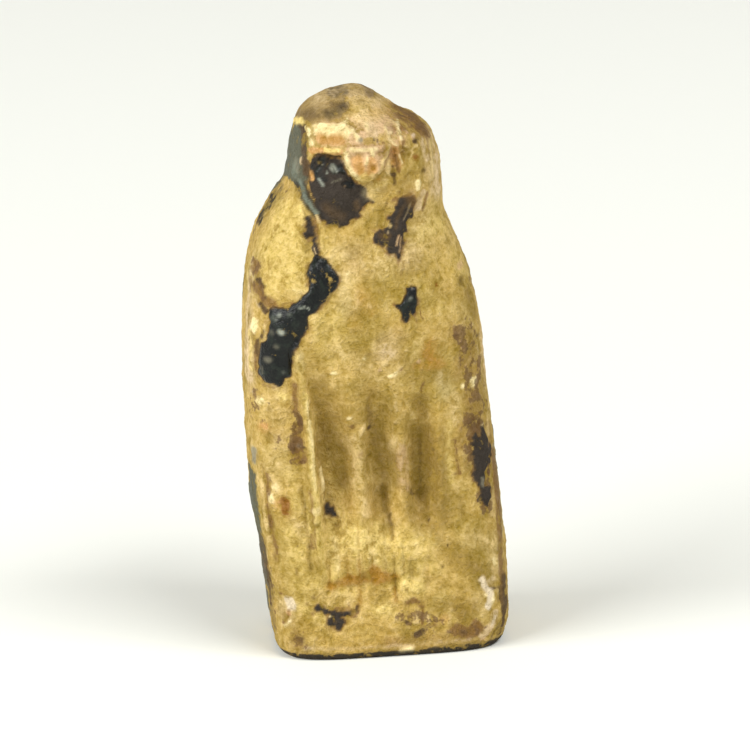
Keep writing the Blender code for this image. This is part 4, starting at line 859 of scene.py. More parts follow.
def face(x, z):
    """Sunk eyes under an overhanging brow, full cheeks, a short beak between them with a raised rim, and
    the groove that frames the face like the edge of a hood."""
    depth = np.zeros(np.shape(x))
    for eye_x, eye_z in EYES:
        socket = hump(np.hypot((x - eye_x) / (EYE_LENGTH * EYE_HALF), (z - eye_z) / EYE_HALF))
        depth = depth - EYE_DEPTH * socket
    for cheek_x, cheek_z in CHEEKS:
        cheek = hump(np.hypot((x - cheek_x) / CHEEK_HALF[0], (z - cheek_z) / CHEEK_HALF[1]))
        depth = depth + CHEEK_HEIGHT * cheek
    across = 1 - ease(0.8 * BROW_HALF_WIDTH, 1.1 * BROW_HALF_WIDTH, np.abs(x))
    above = z - BROW_Z + BROW_ARCH * (x / BROW_HALF_WIDTH) ** 2
    brow = ease(*BROW_EDGE, above) * (1 - ease(*BROW_FADE, above))
    depth = depth + BROW_HEIGHT * brow * across
    rise = (z - BEAK_TIP) / (BEAK_TOP - BEAK_TIP)
    edge_share = np.hypot((x - BEAK_X) / BEAK_HALF, np.minimum(rise - 1, 0))
    dome = np.clip(1 - edge_share ** 3, 0, 1) ** 0.6
    hooked = (1 - 0.6 * ease(0.25, 1.2, rise)) * (1 - ease(1.0, 1.7, rise))
    rim = hump((edge_share - BEAK_RIM) / BEAK_RIM_HALF) * (1 - ease(0.85, 1.0, rise))
    depth = depth + BEAK_HEIGHT * dome * hooked + BEAK_RIM_HEIGHT * rim
    for hood in (HOOD_LEFT, HOOD_RIGHT):
        depth = depth - HOOD_DEPTH * stroke(x, z, hood, HOOD_HALF)
    return depth


def fine_carving(x, z):
    """Sharper ridges, grooves and bumps than the solid carries, and the worn ring of the right eye."""
    depth = np.zeros(np.shape(x))
    for stations, half, height in FINE_LINES:
        depth = depth + height * stroke(x, z, stations, half)
    for bump_x, bump_z, half_width, half_height, lift in FINE_BUMPS:
        depth = depth + lift * hump(np.hypot((x - bump_x) / half_width, (z - bump_z) / half_height))
    eye_x, eye_z, radius, half, lift = RIGHT_ORBIT
    return depth + lift * hump((np.hypot(x - eye_x, z - eye_z) - radius) / half)


def back_carving(x, z):
    """The seam between the folded wings and the two edges of the tail below it."""
    grooves = stroke(x, z, WING_SEAM, BACK_GROOVE_HALF)
    for edge in TAIL_EDGES:
        grooves = np.maximum(grooves, stroke(x, z, edge, BACK_GROOVE_HALF))
    return -BACK_GROOVE_DEPTH * grooves


# ---- noise and marks --------------------------------------------------------------------------------
def scatter(cell, seed):
    """A number in 0 to 1 for each whole-number cell (..., 3), by multiplying and folding its bits."""
    mixed = (cell[..., 0] * 73856093) ^ (cell[..., 1] * 19349663)
    mixed = mixed ^ (cell[..., 2] * 83492791) ^ (seed * 2654435)
    mixed = mixed.astype(np.int64) & 0xFFFFFFFF
    mixed = ((mixed ^ (mixed >> 15)) * 0x2C1B3C6D) & 0xFFFFFFFF
    mixed = ((mixed ^ (mixed >> 12)) * 0x297A2D39) & 0xFFFFFFFF
    return (mixed ^ (mixed >> 15)) / 4294967295.0


def noise(points, size, seed):
    """Smooth noise in -1 to 1: random values at the corners of cubes of that size, blended by S curves."""
    scaled = points / size
    corner = np.floor(scaled).astype(np.int64)
    t = scaled - corner
    t = t * t * (3 - 2 * t)
    total = np.zeros(points.shape[:-1])
    for step in np.ndindex(2, 2, 2):
        weight = np.prod(np.where(np.array(step) == 1, t, 1 - t), axis=-1)
        total += weight * scatter(corner + np.array(step), seed)
    return 2 * total - 1


def layered(points, size, seed, layers=3):
    """Noise summed over layers, each half the size and a little over half the strength of the one before."""
    total = sum(0.55 ** k * noise(points, size / 2 ** k, seed + k) for k in range(layers))
    return total / sum(0.55 ** k for k in range(layers))


def summed(points, parts, step=0):
    """Noise of several sizes at once: the sum of its parts, with a step added to their seeds."""
    return sum(strength * noise(points, size, seed + step) for strength, size, seed in parts)


def pushes(points, parts):
    """How far noise pushes some places each way: summed noise with its own seeds for x, y and z."""
    return np.stack([summed(points, parts, axis) for axis in range(3)], axis=-1)


def shrunk(place, wrap):
    """How much marks have shrunk at a place: nothing before the wrap's start, then evenly by its rate."""
    start, rate = wrap
    return rate * np.clip(place - start, 0, None)


def capsules(across, up, marks):
    """How far inside the nearest capsule each place is, in millimetres, and negative outside: the radius,
    which runs evenly from one end to the other, less the distance to the line between the ends."""
    inside = np.full(np.shape(across), -9.0)
    for x0, z0, x1, z1, first, second in marks:
        dx, dz = x1 - x0, z1 - z0
        along = np.clip(((across - x0) * dx + (up - z0) * dz) / (dx * dx + dz * dz + 1e-9), 0, 1)
        distance = np.hypot(across - x0 - along * dx, up - z0 - along * dz)
        inside = np.maximum(inside, first + (second - first) * along - distance)
    return inside


def soft_areas(across, up, areas):
    """The strongest of some soft areas: each has its strength inside and fades over its own half radius."""
    shade = np.zeros(np.shape(across))
    for *capsule, strength in areas:
        reach = 0.5 * max(capsule[4:])
        shade = np.maximum(shade, strength * ease(-reach, reach, capsules(across, up, [capsule])))
    return shade


def outlined(across, up, outlines):
    """How far inside the nearest of some closed outlines each place is, in millimetres, and negative outside:
    the distance to the nearest side, positive where a line to the right crosses an odd number of sides."""
    inside = np.full(np.shape(across), -9.0)
    for corners in outlines:
        nearest = np.full(np.shape(across), 9.0)
        crossed = np.zeros(np.shape(across), dtype=bool)
        for (x0, z0), (x1, z1) in zip(corners, corners[1:] + corners[:1]):
            dx, dz = x1 - x0, z1 - z0
            along = np.clip(((across - x0) * dx + (up - z0) * dz) / (dx * dx + dz * dz), 0, 1)
            nearest = np.minimum(nearest, np.hypot(across - x0 - along * dx, up - z0 - along * dz))
            crossed ^= ((up < z0) != (up < z1)) & (across < x0 + (up - z0) * dx / (dz or 1))
        inside = np.maximum(inside, np.where(crossed, nearest, -nearest))
    return inside


def lay(canvas, amount, code):
    """Lays a colour over a canvas, whose red, green and blue are kept times their cover."""
    canvas *= 1 - amount[..., None]
    canvas += amount[..., None] * np.array((*linear(code), 1.0))


def brush(canvas, lift, across, up, wrap, strokes):
    """Lays brush strokes over a canvas in their order, and adds to the lift of the surface. A stroke has its
    full cover well inside its radius and fades over its softness on both sides of it."""
    for points, radius, cover, soft, rise, code in strokes:
        pieces = [(*start, *end, radius, radius) for start, end in zip(points, points[1:] or points)]
        amount = ease(-soft, soft, capsules(across, up, pieces) - wrap)
        lay(canvas, cover * amount, code)
        lift += rise * amount


# ---- the surface ------------------------------------------------------------------------------------
def ring_heights(rows):
    """Heights of the level sections: steps round the foot edge on a quarter circle, then even steps that
    crowd together towards the crown as the difference of a hyperbola from its axis."""
    foot_rows = max(4, rows // 50)
    turn = np.linspace(0, np.pi / 2, foot_rows, endpoint=False)
    left = np.linspace(1, 0, rows - foot_rows)
    reach = np.hypot(left, CROWN_BLEND) - CROWN_BLEND
    foot = FOOT_ROUND * (1 - np.cos(turn))
    return np.concatenate((foot, HEIGHT - (HEIGHT - FOOT_ROUND) * reach / reach[0]))


def plain_body(rows, columns, front_density):
    """The uncarved body as rows by columns of (x, y, z), with the share of the way to the front and to the
    back. A ring is a superellipse whose front and back halves have their own depth and squareness; the
    columns are spread along it by length, front_density times closer together on the front."""
    rings = ring_heights(rows)
    heights = np.clip(rings - SOLE, 0, None)
    below_round = np.clip(FOOT_ROUND - rings, 0, None)
    tuck = FOOT_ROUND - np.sqrt(FOOT_ROUND ** 2 - below_round ** 2)
    left = outline(LEFT_SIDE, heights) + tuck
    right = outline(RIGHT_SIDE, heights) - tuck
    front = outline(FRONT_SIDE, heights) + tuck
    back = outline(BACK_SIDE, heights) - tuck
    widest = through(WIDEST_AT, heights)[:, None]
    turn = np.linspace(0.5 * np.pi, 2.5 * np.pi, 6 * columns + 1)
    cosine, sine = np.cos(turn), np.sin(turn)
    ahead = sine < 0
    front_square, back_square = through(FRONT_SQUARE, heights), through(BACK_SQUARE, heights)
    power = 2 / np.where(ahead, front_square[:, None], back_square[:, None])
    depth = np.where(ahead, widest - front[:, None], back[:, None] - widest)
    x = ((left + right)[:, None] + (right - left)[:, None] * np.sign(cosine) * np.abs(cosine) ** power) / 2
    y = widest + depth * np.sign(sine) * np.abs(sine) ** power
    step = np.hypot(np.diff(x, axis=1), np.diff(y, axis=1))
    facing = (widest - y)[:, :-1] / np.maximum(widest - front[:, None], 1e-6)
    step = step * (1 + (front_density - 1) * ease(0.3, 0.9, facing)) + 1e-9
    run = np.concatenate((np.zeros((rows, 1)), np.cumsum(step, axis=1)), axis=1)
    place = np.arange(rows)[:, None] * (run.max() + 1)
    wanted = np.linspace(0, 1, columns, endpoint=False) * run[:, -1:] + place
    x = np.interp(wanted.ravel(), (run + place).ravel(), x.ravel()).reshape(rows, columns)
    y = np.interp(wanted.ravel(), (run + place).ravel(), y.ravel()).reshape(rows, columns)
    z = np.repeat(rings[:, None], columns, axis=1)
    to_front = (widest - y) / np.maximum(widest - front[:, None], 1e-6)
    to_back = (y - widest) / np.maximum(back[:, None] - widest, 1e-6)
    return np.stack((x, y, z), axis=-1), to_front, to_back


def outward(points):
    """Unit normals of a grid that is closed across its columns: the cross product of the steps along the
    columns and along the rows."""
    round_it = np.roll(points, -1, axis=1) - np.roll(points, 1, axis=1)
    up = np.gradient(points, axis=0)
    normal = np.cross(round_it, up)
    return normal / np.maximum(np.linalg.norm(normal, axis=-1, keepdims=True), 1e-12)


def smoothed(values, rounds):
    """A grid of values after some rounds of averaging each with its four neighbours."""
    for _ in range(rounds):
        rows = np.pad(values, ((1, 1), (0, 0)), mode="edge")
        values = (rows[:-2] + rows[2:] + np.roll(values, 1, axis=1) + np.roll(values, -1, axis=1)) / 4
    return values


def far_remains(points, x, z, far, frayed, to_front, to_back):
    """How far inside the remains beside and behind each place is, in millimetres, as (glaze, film, crust).
    Flank patches shrink towards the front and the back, and those behind shrink towards the flanks. More
    glaze and crusts lie where layered noise is over a limit, which is lower away from the front."""
    _, side_y, side_z = np.moveaxis(points + far, -1, 0)
    shrink = shrunk(np.abs(to_front), FLANK_WRAP) - frayed
    film = np.where(x < 0, capsules(side_y, side_z, LEFT_FLANK_GLAZE), -9.0) - shrink
    glaze = np.where(x > 0, capsules(side_y, side_z, RIGHT_FLANK_GLAZE), -9.0) - shrink
    behind = capsules(x, z, BACK_GLAZE) + frayed - shrunk(-to_back, BACK_WRAP)
    away = 1 - ease(-0.3, 0.5, to_front)
    strewn = 0.8 * (layered(points, 1.9, 31, 4) - 1.12 + 0.7 * away)
    crust = 0.5 * (layered(points, 0.9, 41) - 1.0 + 0.4 * away)
    return np.maximum(np.maximum(glaze, behind), strewn), film, crust


def patina(points, to_front, to_back):
    """The marks at some places. Glaze and film are distances inside their outlines, measured at places that
    noise has pushed aside, a little in front and further beside and behind, so that the outlines are ragged.
    Colours are laid in the order in which the layers lie: stains of the bare core, crusts, films, worn and
    shiny glaze, marks over them with painted highlights on the glaze, and soot and a painted contact shadow
    round the foot."""
    near, far = points + pushes(points, NEAR_PUSH), pushes(points, FAR_PUSH)
    near_x, _, near_z = np.moveaxis(near, -1, 0)
    x, y, z = np.moveaxis(near + ease(-1.2, 1.2, points[..., 1])[..., None] * far, -1, 0)
    near_z, z = near_z - SOLE, z - SOLE
    wrap = shrunk(y - CROWN_REACH * ease(*CROWN_HEIGHTS, z), FRONT_WRAP)
    ragged, frayed = summed(points, RAGGED), summed(points, FRAYED)
    gloss = outlined(x, z, GLOSSY_SHAPES) - wrap - 0.6 * ragged
    worn = np.maximum(outlined(x, z, WORN_SHAPES), capsules(x, z, WORN_GLAZE)) - wrap + frayed
    far_glaze, far_film, crust = far_remains(points, x, z, far, frayed, to_front, to_back)
    worn = np.maximum(worn, far_glaze)
    canvas, lift = np.zeros((*x.shape, 4)), np.zeros(x.shape)
    brush(canvas, lift, x, z, wrap, STAINS)
    lay(canvas, 0.8 * ease(-0.04, 0.06, crust), BUFF)
    lift += CRUST_THICK * ease(-0.03, 0.09, crust)
    film = far_film
    for corners, code in FILMS:
        spot = outlined(x, z, (corners,)) - shrunk(y, FILM_WRAP)
        film = np.maximum(film, spot)
        lay(canvas, 0.92 * ease(-0.07, 0.07, spot + ragged), code)
    lay(canvas, 0.85 * ease(-0.12, 0.12, far_film + ragged), FILM_GREY)
    black = np.maximum(gloss, worn)
    shiny = ease(-0.10, 0.10, gloss - worn + ragged)
    lay(canvas, 0.7 * ease(-0.16, 0.02, black + 3 * ragged), BROWN)
    edge = ease(-0.045, 0.045, black + ragged)
    lay(canvas, edge, WORN_BLACK)
    lay(canvas, edge * shiny, BLACK)
    brush(canvas, lift, x, z, wrap, MARKS)
    brush(canvas, lift, near_x, near_z, shrunk(y, EDGE_WRAP), EDGES)
    # The foot is darkened up to a ragged line, which is a little higher on the right: soot, and a painted
    # contact shadow under the rounded edge of the foot.
    lay(canvas, 0.9 * (1 - ease(0.10, 0.22 + 0.08 * ease(-2.0, 3.5, x), z + 0.5 * ragged)), SOOT_AND_SHADOW)
    side_brown = 0.7 * ease(0.0, 0.6, layered(points, 1.4, 51, 4)) * (1 - ease(0.3, 0.8, to_front))
    flecks = soft_areas(x, z, MOTTLED) * np.clip(1 - 0.6 * wrap, 0, 1)
    cover = canvas[..., 3]
    bare = 0.001 * np.array(linear(SAND))
    red, green, blue = np.moveaxis((canvas[..., :3] + bare) / (cover[..., None] + 0.001), -1, 0)
    return {"black": black + ragged, "gloss": shiny, "film": film + ragged, "lift": lift,
            "red": red, "green": green, "blue": blue, "cover": cover,
            "mottle": np.maximum(flecks, side_brown) * (1 - edge),
            "drops": ease(18.6, 17.4, z) * ease(-0.05, 0.05, gloss)}


def relief(points, marks):
    """How far each place stands out along its normal: rounded pads where glaze or film is left, thick drops
    of glaze that are levelled with their neighbourhood, so that they swell without creases, broad lumps and
    dents, crusts and chips, grain that is coarse enough to be mesh, and crumbs on the left flank and where
    the core is flecked."""
    x, z = points[..., 0], points[..., 2] - SOLE
    pads = np.maximum(GLAZE_THICK * ease(-0.03, 0.10, marks["black"]),
                      FILM_THICK * ease(-0.02, 0.10, marks["film"]))
    drops = marks["drops"] * (DROP_THICK + DROP_UNEVEN * noise(points, 0.70, 19))
    lumps = LUMP_HEIGHT * layered(points, LUMP_SIZE, 61) + DENT_HEIGHT * layered(points, DENT_SIZE, 71, 2)
    lumps = (lumps + marks["lift"]) * (1 - 0.9 * marks["drops"])
    covered = ease(0.0, 0.08, np.maximum(marks["black"], marks["film"]))
    rough = GRAIN_HEIGHT + FOOT_GRAIN * (1 - ease(3.85, 6.85, z))
    grain = rough * noise(points, GRAIN_SIZE, 81) * (1 - 0.8 * covered)
    flank = ease(-3.4, -4.0, x) * ease(6.5, 8.5, z) * ease(13.0, 11.0, z)
    crumbs = CRUMB_HEIGHT * np.maximum(flank, 0.8 * marks["mottle"]) * layered(points, CRUMB_SIZE, 91, 2)
    return pads + smoothed(drops, DROP_ROUNDS) + lumps + grain + crumbs


# ---- meshes -----------------------------------------------------------------------------------------
def poles_and_rings(grid):
    """Flat list of the values of a grid whose first and last rows are poles: its rings, then each pole's
    mean."""
    ends = np.stack((grid[0].mean(axis=0), grid[-1].mean(axis=0)))
    return np.concatenate((grid[1:-1].reshape(-1, grid.shape[-1]), ends))


def closed_faces(rings, columns):
    """Quads between rings that are closed across their columns, and triangles from the first and the last
    ring to the two poles, all with their corners counter-clockwise from outside."""
    index = np.arange(rings * columns).reshape(rings, columns)
    beyond = np.roll(index, -1, axis=1)
    quads = np.stack((index[:-1], beyond[:-1], beyond[1:], index[1:]), axis=-1).reshape(-1, 4)
    pole = np.full(columns, rings * columns)
    bottom = np.stack((beyond[0], index[0], pole), axis=-1)
    top = np.stack((index[-1], beyond[-1], pole + 1), axis=-1)
    return quads.tolist() + bottom.tolist() + top.tolist()


def make_mesh(name, points):
    """A smooth-shaded mesh from a grid in millimetres whose first and last rows are poles."""
    mesh = bpy.data.meshes.new(name)
    faces = closed_faces(points.shape[0] - 2, points.shape[1])
    mesh.from_pydata((poles_and_rings(points) * MM).tolist(), [], faces)
    mesh.shade_smooth()
    return mesh


def body_form(sizes):
    """The carved and worn body, as its grid of points and its patina. Rows that run outwards over the
    underside come first, from a pole in its middle, then the level sections up to the pole at the crown."""
    plain, to_front, to_back = plain_body(sizes.rows, sizes.columns, sizes.front_density)
    x, z = plain[..., 0], plain[..., 2] - SOLE
    front = niche_and_legs(x, z) + wings_and_breast(x, z) + face(x, z) + fine_carving(x, z)
    front = front * ease(*CARVING_FADE, to_front)
    back = back_carving(x, z) * ease(*CARVING_FADE, to_back)
    carved = plain.copy()
    carved[..., 1] += back - front
    marks = patina(plain, to_front, to_back)
    stand_out = relief(plain, marks) * sizes.relief * ease(*RELIEF_FADE, z)
    carved = carved + outward(carved) * stand_out[..., None]
    carved[..., 2] = np.clip(carved[..., 2], 0, None)
    height = stand_out + front + back
    # Darker where the surface is deeper than its neighbourhood: dirt and painted shade in the hollows.
    marks["hollow"] = np.clip((smoothed(height, HOLLOW_ROUNDS) - height) / HOLLOW_DEPTH, 0, 1)
    outwards = np.linspace(0, 1, sizes.under_rows, endpoint=False)[:, None, None]
    middle = carved[0].mean(axis=0)
    under = middle + outwards * (carved[0] - middle)
    under[..., 2] = UNDERSIDE_GAP * (1 - outwards[..., 0] ** 6) * (1 + noise(under, 0.8, 95)) / 2
    level = np.zeros(under.shape[:2])
    bare = patina(under, level, level)
    # The underside gets a little of that darkening all over: dirt and painted shade under the figure.
    bare["hollow"] = level + 0.2
    marks = {key: np.concatenate((bare[key], marks[key])) for key in marks}
    return np.concatenate((under, carved)), marks


def drum_form(centre_y, radius, half, rounding, worn):
    """A drum across the figure, as its grid of points and its patina: a profile turned round the drum's
    axis. The profile runs from one end's middle along the flat end, round a quarter circle, along the side,
    and back the same way."""
    turn = np.linspace(0, np.pi / 2, DRUM_RIM_STEPS)
    rim_along = half - rounding * (1 - np.sin(turn))[::-1]
    rim_out = radius - rounding * (1 - np.cos(turn))[::-1]
    flat = np.linspace(0, 1, DRUM_END_STEPS, endpoint=False)
    end_along = np.concatenate((np.full(DRUM_END_STEPS, half), rim_along))
    end_out = np.concatenate((flat * rim_out[0], rim_out))
    side = np.linspace(-1, 1, DRUM_SIDE_STEPS)[1:-1]
    along = np.concatenate((-end_along, side * rim_along[-1], end_along[::-1]))
    out = np.concatenate((end_out, np.full(len(side), radius), end_out[::-1]))
    round_it = np.linspace(0, 2 * np.pi, DRUM_TURN_STEPS, endpoint=False)
    x = np.repeat(LUG_X + along[:, None], len(round_it), axis=1)
    y = centre_y + out[:, None] * np.cos(round_it)
    z = SOLE + LUG_Z + out[:, None] * np.sin(round_it)
    points = np.stack((x, y, z), axis=-1)
    behind = np.ones(x.shape)
    marks = patina(points, -behind, behind)
    # The lug and its bore get a little of that darkening all over: dirt and painted shade.
    marks["hollow"] = 0.15 * behind
    return points + outward(points) * (relief(points, marks) * worn)[..., None], marks


def carve(body_data, helpers):
    """The mesh of a body after exact Boolean steps with helper meshes, each given as (mesh, operation)."""
    scene = bpy.context.scene.collection
    body = bpy.data.objects.new("body_form", body_data)
    scene.objects.link(body)
    made = [body]
    for mesh, operation in helpers:
        helper = bpy.data.objects.new(mesh.name, mesh)
        scene.objects.link(helper)
        step = body.modifiers.new(mesh.name, "BOOLEAN")
        step.operation, step.solver, step.object = operation, "EXACT", helper
        made.append(helper)
    evaluated = body.evaluated_get(bpy.context.evaluated_depsgraph_get())
    result = bpy.data.meshes.new_from_object(evaluated)
    result.name = "falcon_amulet_surface"
    for helper in made:
        old = helper.data
        bpy.data.objects.remove(helper)
        bpy.data.meshes.remove(old)
    return result


def place_keys(places):
    """One sortable key for each place in metres, made of its three 32-bit coordinates."""
    exact = np.ascontiguousarray(places, dtype=np.float32) + np.float32(0)
    return exact.view([("x", "f4"), ("y", "f4"), ("z", "f4")]).ravel()


def keep_patina(mesh, forms):
    """Gives a carved mesh the patina of the forms that it was made of, as three attributes of three numbers
    each. A point that was kept is found by its exact place, and the new ones along a cut stay bare. A
    distance field becomes 0 from a quarter of a millimetre outside a mark, 0.5 at its edge, and 1 from a
    quarter of a millimetre inside."""
    now = np.empty(3 * len(mesh.vertices), dtype=np.float32)
    mesh.vertices.foreach_get("co", now)
    before = place_keys(np.concatenate([poles_and_rings(points) * MM for points, _ in forms]))
    order = np.argsort(before)
    now = place_keys(now.reshape(-1, 3))
    source = order[np.minimum(np.searchsorted(before[order], now), len(before) - 1)]
    kept = before[source] == now
    if kept.mean() < 0.97:
        raise RuntimeError("The patina doesn't fit the carved surface")
    for key, names in PATINA.items():
        values = []
        for _, marks in forms:
            grids = [np.clip(0.5 + 0.5 * marks[name] / FIELD_REACH, 0, 1) if name in FIELDS
                     else marks[name] for name in names]
            values.append(poles_and_rings(np.stack(grids, axis=-1)))
        values = np.concatenate(values)[source] * kept[:, None]
        attribute = mesh.attributes.new(key, "FLOAT_VECTOR", "POINT")
        attribute.data.foreach_set("vector", values.astype(np.float32).ravel())


# ---- materials --------------------------------------------------------------------------------------
def add(tree, kind, inputs, output=0, **settings):
    """Adds a shader node with its settings. Inputs are values or sockets to link; gives one output socket."""
    made = tree.nodes.new("ShaderNode" + kind)
    for key, value in settings.items():
        setattr(made, key, value)
    for key, value in inputs.items():
        if isinstance(value, bpy.types.NodeSocket):
            tree.links.new(value, made.inputs[key])
        else:
            made.inputs[key].default_value = value
    return made.outputs[output]


def new_material(name):
    """An empty node material with its shader and output, as (material, tree, shader)."""
    made = bpy.data.materials.new(name)
    made.use_nodes = True
    return made, made.node_tree, made.node_tree.nodes["Principled BSDF"]


def glazed_composition(finish):
    """Egyptian faience: crushed quartz pressed in a mould and fired under its own alkaline glaze. Most of the
    glaze is gone, so the eye gets the matte, sandy core, pale where it is fresh, brown where dirt sits and
    darker in the hollows with dirt and painted shade, with shiny black and dull grey-brown remains, a thin
    grey-green film and cream crusts."""
    made, tree, shader = new_material("glazed composition, worn")
    place = add(tree, "TexCoord", {}, "Object")
    fields = {}
    for key, names in PATINA.items():
        packed = add(tree, "Attribute", {}, "Vector", attribute_name=key)
        for axis, name in enumerate(names):
            fields[name] = add(tree, "SeparateXYZ", {0: packed}, axis)
    # Blotches of dirt are a few millimetres wide, patches of wear and crumbs 0.4 to 1 mm, and quartz grit
    # about 0.2 mm. Each scale is worked out from that size.
    for name, size, detail, uneven in (("blotch", 2.4 * MM, 4, 0.55), ("patch", 0.9 * MM, 4, 0.60),
                                       ("crumb", 2.2 * finish.grit, 3, 0.60), ("grit", finish.grit, 3, 0.65),
                                       ("dust", 0.5 * finish.grit, 2, 0.50)):
        fields[name] = add(tree, "TexNoise", {"Vector": place, "Scale": 1 / size, "Detail": detail,
                                              "Roughness": uneven})

    # Sums: a constant, and fields each taken so many times.
    sums = {}
    for name, total, parts in (
            ("broken", -2.35, (("cover", 1.0), ("crumb", 2.4), ("patch", 1.5), ("grit", 0.8))),
            ("flecked", -2.5, (("mottle", 1.35), ("crumb", 3.2), ("patch", 1.2))),
            ("light", -0.23, (("grit", 0.90), ("dust", 0.15), ("crumb", 0.98), ("patch", 0.45))),
            ("vivid", 1.3, (("grit", -0.35), ("crumb", -0.25))),
            ("height", 0.0, (("grit", 1.0), ("dust", 0.4), ("crumb", 1.6)))):
        for part, times in parts:
            total = add(tree, "Math", {0: fields[part], 1: times, 2: total}, operation="MULTIPLY_ADD")
        sums[name] = total

    # Sockets of a Map Range: 0 the value, 1 and 2 where it starts and ends, 3 and 4 what it gives there.
    # Sockets of a Mix: 0 the share, 2 and 3 the two numbers, 6 and 7 the two colours.
    smooth, paint = {"interpolation_type": "SMOOTHSTEP"}, {"data_type": "RGBA"}
    # The bare core is sandy, with olive blotches, pale patches, and dirt and painted shade darkening the
    # hollows.
    colour = (*finish.sand, 1.0)
    for name, start, end, most, code in (("blotch", 0.40, 0.64, 1.0, SAND_OLIVE),
                                         ("patch", 0.50, 0.68, 0.45, SAND_PALE),
                                         ("hollow", 0.0, 1.0, 0.5, HOLLOW_DIRT_AND_SHADE)):
        share = add(tree, "MapRange", {0: fields[name], 1: start, 2: end, 4: most}, **smooth)
        colour = add(tree, "Mix", {0: share, 6: colour, 7: (*linear(code), 1.0)}, 2, **paint)
    # Of the painted marks, thin washes stay even, and strong ones thin out in specks where they aren't full.
    laid = add(tree, "MapRange", {0: fields["cover"], 1: 0.0, 2: 0.2}, **smooth)
    specks = add(tree, "MapRange", {0: sums["broken"], 1: 0.25, 2: 0.75}, **smooth)
    specks = add(tree, "Math", {0: specks, 1: laid}, operation="MULTIPLY")
    strong = add(tree, "MapRange", {0: fields["cover"], 1: 0.35, 2: 0.65, 4: 0.7}, **smooth)
    cover = add(tree, "Mix", {0: strong, 2: fields["cover"], 3: specks})
    painted = add(tree, "Attribute", {}, "Color", attribute_name="paint")
    colour = add(tree, "Mix", {0: cover, 6: colour, 7: painted}, 2, **paint)
    # Brown flecks lie over them, and the grain makes it all lighter or darker, and a little greyer.
    flecks = add(tree, "MapRange", {0: sums["flecked"], 1: 0.45, 2: 0.85, 4: 0.8}, **smooth)
    colour = add(tree, "Mix", {0: flecks, 6: colour, 7: (*linear(FLECK), 1.0)}, 2, **paint)
    grained = add(tree, "HueSaturation", {"Color": colour, "Value": sums["light"],
                                          "Saturation": sums["vivid"]}, "Color")
    # Shiny glaze has little of the grain, and bottle green where it is thin.
    black = add(tree, "MapRange", {0: fields["black"], 1: 0.38, 2: 0.62}, **smooth)
    glossy = add(tree, "Math", {0: black, 1: fields["gloss"]}, operation="MULTIPLY")
    thin = add(tree, "MapRange", {0: fields["crumb"], 1: 0.50, 2: 0.64, 4: 0.7}, **smooth)
    thin = add(tree, "Math", {0: glossy, 1: thin}, operation="MULTIPLY")
    glazed = add(tree, "Mix", {0: thin, 6: colour, 7: (*linear(BOTTLE), 1.0)}, 2, **paint)
    even = add(tree, "MapRange", {0: glossy, 1: 0.0, 2: 1.0, 4: 0.7}, **smooth)
    colour = add(tree, "Mix", {0: even, 6: grained, 7: glazed}, 2, **paint)
    tree.links.new(colour, shader.inputs["Base Color"])

    # The core is dry and matte, the film duller than the glaze, and the shiny glaze smooth.
    film = add(tree, "MapRange", {0: fields["film"], 1: 0.40, 2: 0.70}, **smooth)
    rough = add(tree, "Mix", {0: film, 2: 0.92, 3: 0.65})
    rough = add(tree, "Mix", {0: glossy, 2: rough, 3: 0.30})
    tree.links.new(rough, shader.inputs["Roughness"])
    shader.inputs["Specular IOR Level"].default_value = 0.25

    filled = add(tree, "MapRange", {0: glossy, 1: 0.0, 2: 1.0, 3: 1.0, 4: 0.3}, **smooth)
    height = add(tree, "Math", {0: sums["height"], 1: filled}, operation="MULTIPLY")
    bump = add(tree, "Bump", {"Height": height, "Strength": finish.bump, "Distance": 0.14 * MM})
    tree.links.new(bump, shader.inputs["Normal"])
    return made


def matt_paper():
    """Seamless background paper, rolled cotton stock: white, even and matte. Its fibres are drawn 1.2 mm
    long, coarser than real ones, so that they show at all."""
    made, tree, shader = new_material("matt background paper")
    place = add(tree, "TexCoord", {}, "Object")
    fibre = add(tree, "TexNoise", {"Vector": place, "Scale": 1 / (1.2 * MM), "Detail": 3})
    bump = add(tree, "Bump", {"Height": fibre, "Strength": 0.05, "Distance": 0.05 * MM})
    tree.links.new(bump, shader.inputs["Normal"])
    shader.inputs["Base Color"].default_value = (*linear(PAPER), 1.0)
    shader.inputs["Roughness"].default_value = 0.9
    return made


# ---- the studio -------------------------------------------------------------------------------------
def paper_sweep(half_width, near, far, rise):
    """A sheet that lies level, then turns up on a quarter circle and stands: a profile run sideways."""
    turn = np.linspace(0, np.pi / 2, 24)
    y = np.concatenate((np.linspace(-near, far, 24), far + rise * np.sin(turn)[1:], [far + rise]))
    z = np.concatenate((np.zeros(24), rise * (1 - np.cos(turn))[1:], [2 * rise]))
    x = np.linspace(-half_width, half_width, 24)
    points = np.stack([grid for grid in np.broadcast_arrays(x[None, :], y[:, None], z[:, None])], axis=-1)
    index = np.arange(points[..., 0].size).reshape(points.shape[:2])
    quads = np.stack((index[:-1, :-1], index[:-1, 1:], index[1:, 1:], index[1:, :-1]), axis=-1).reshape(-1, 4)
    mesh = bpy.data.meshes.new("paper_floor")
    mesh.from_pydata(points.reshape(-1, 3).tolist(), [], quads.tolist())
    mesh.shade_smooth()
    return mesh


def soft_light(name, azimuth, elevation, distance, size, power, target):
    """A wide softbox that faces a target from an azimuth, turned from the front, and an elevation."""
    light = bpy.data.lights.new(name, "AREA")
    light.shape, light.energy = "RECTANGLE", power
    light.size, light.size_y = size
    away = Vector((math.sin(azimuth) * math.cos(elevation), -math.cos(azimuth) * math.cos(elevation),
                   math.sin(elevation)))
    made = bpy.data.objects.new(name, light)
    made.location = target + distance * away
    made.rotation_euler = (-away).to_track_quat("-Z", "Y").to_euler()
    bpy.context.scene.collection.objects.link(made)


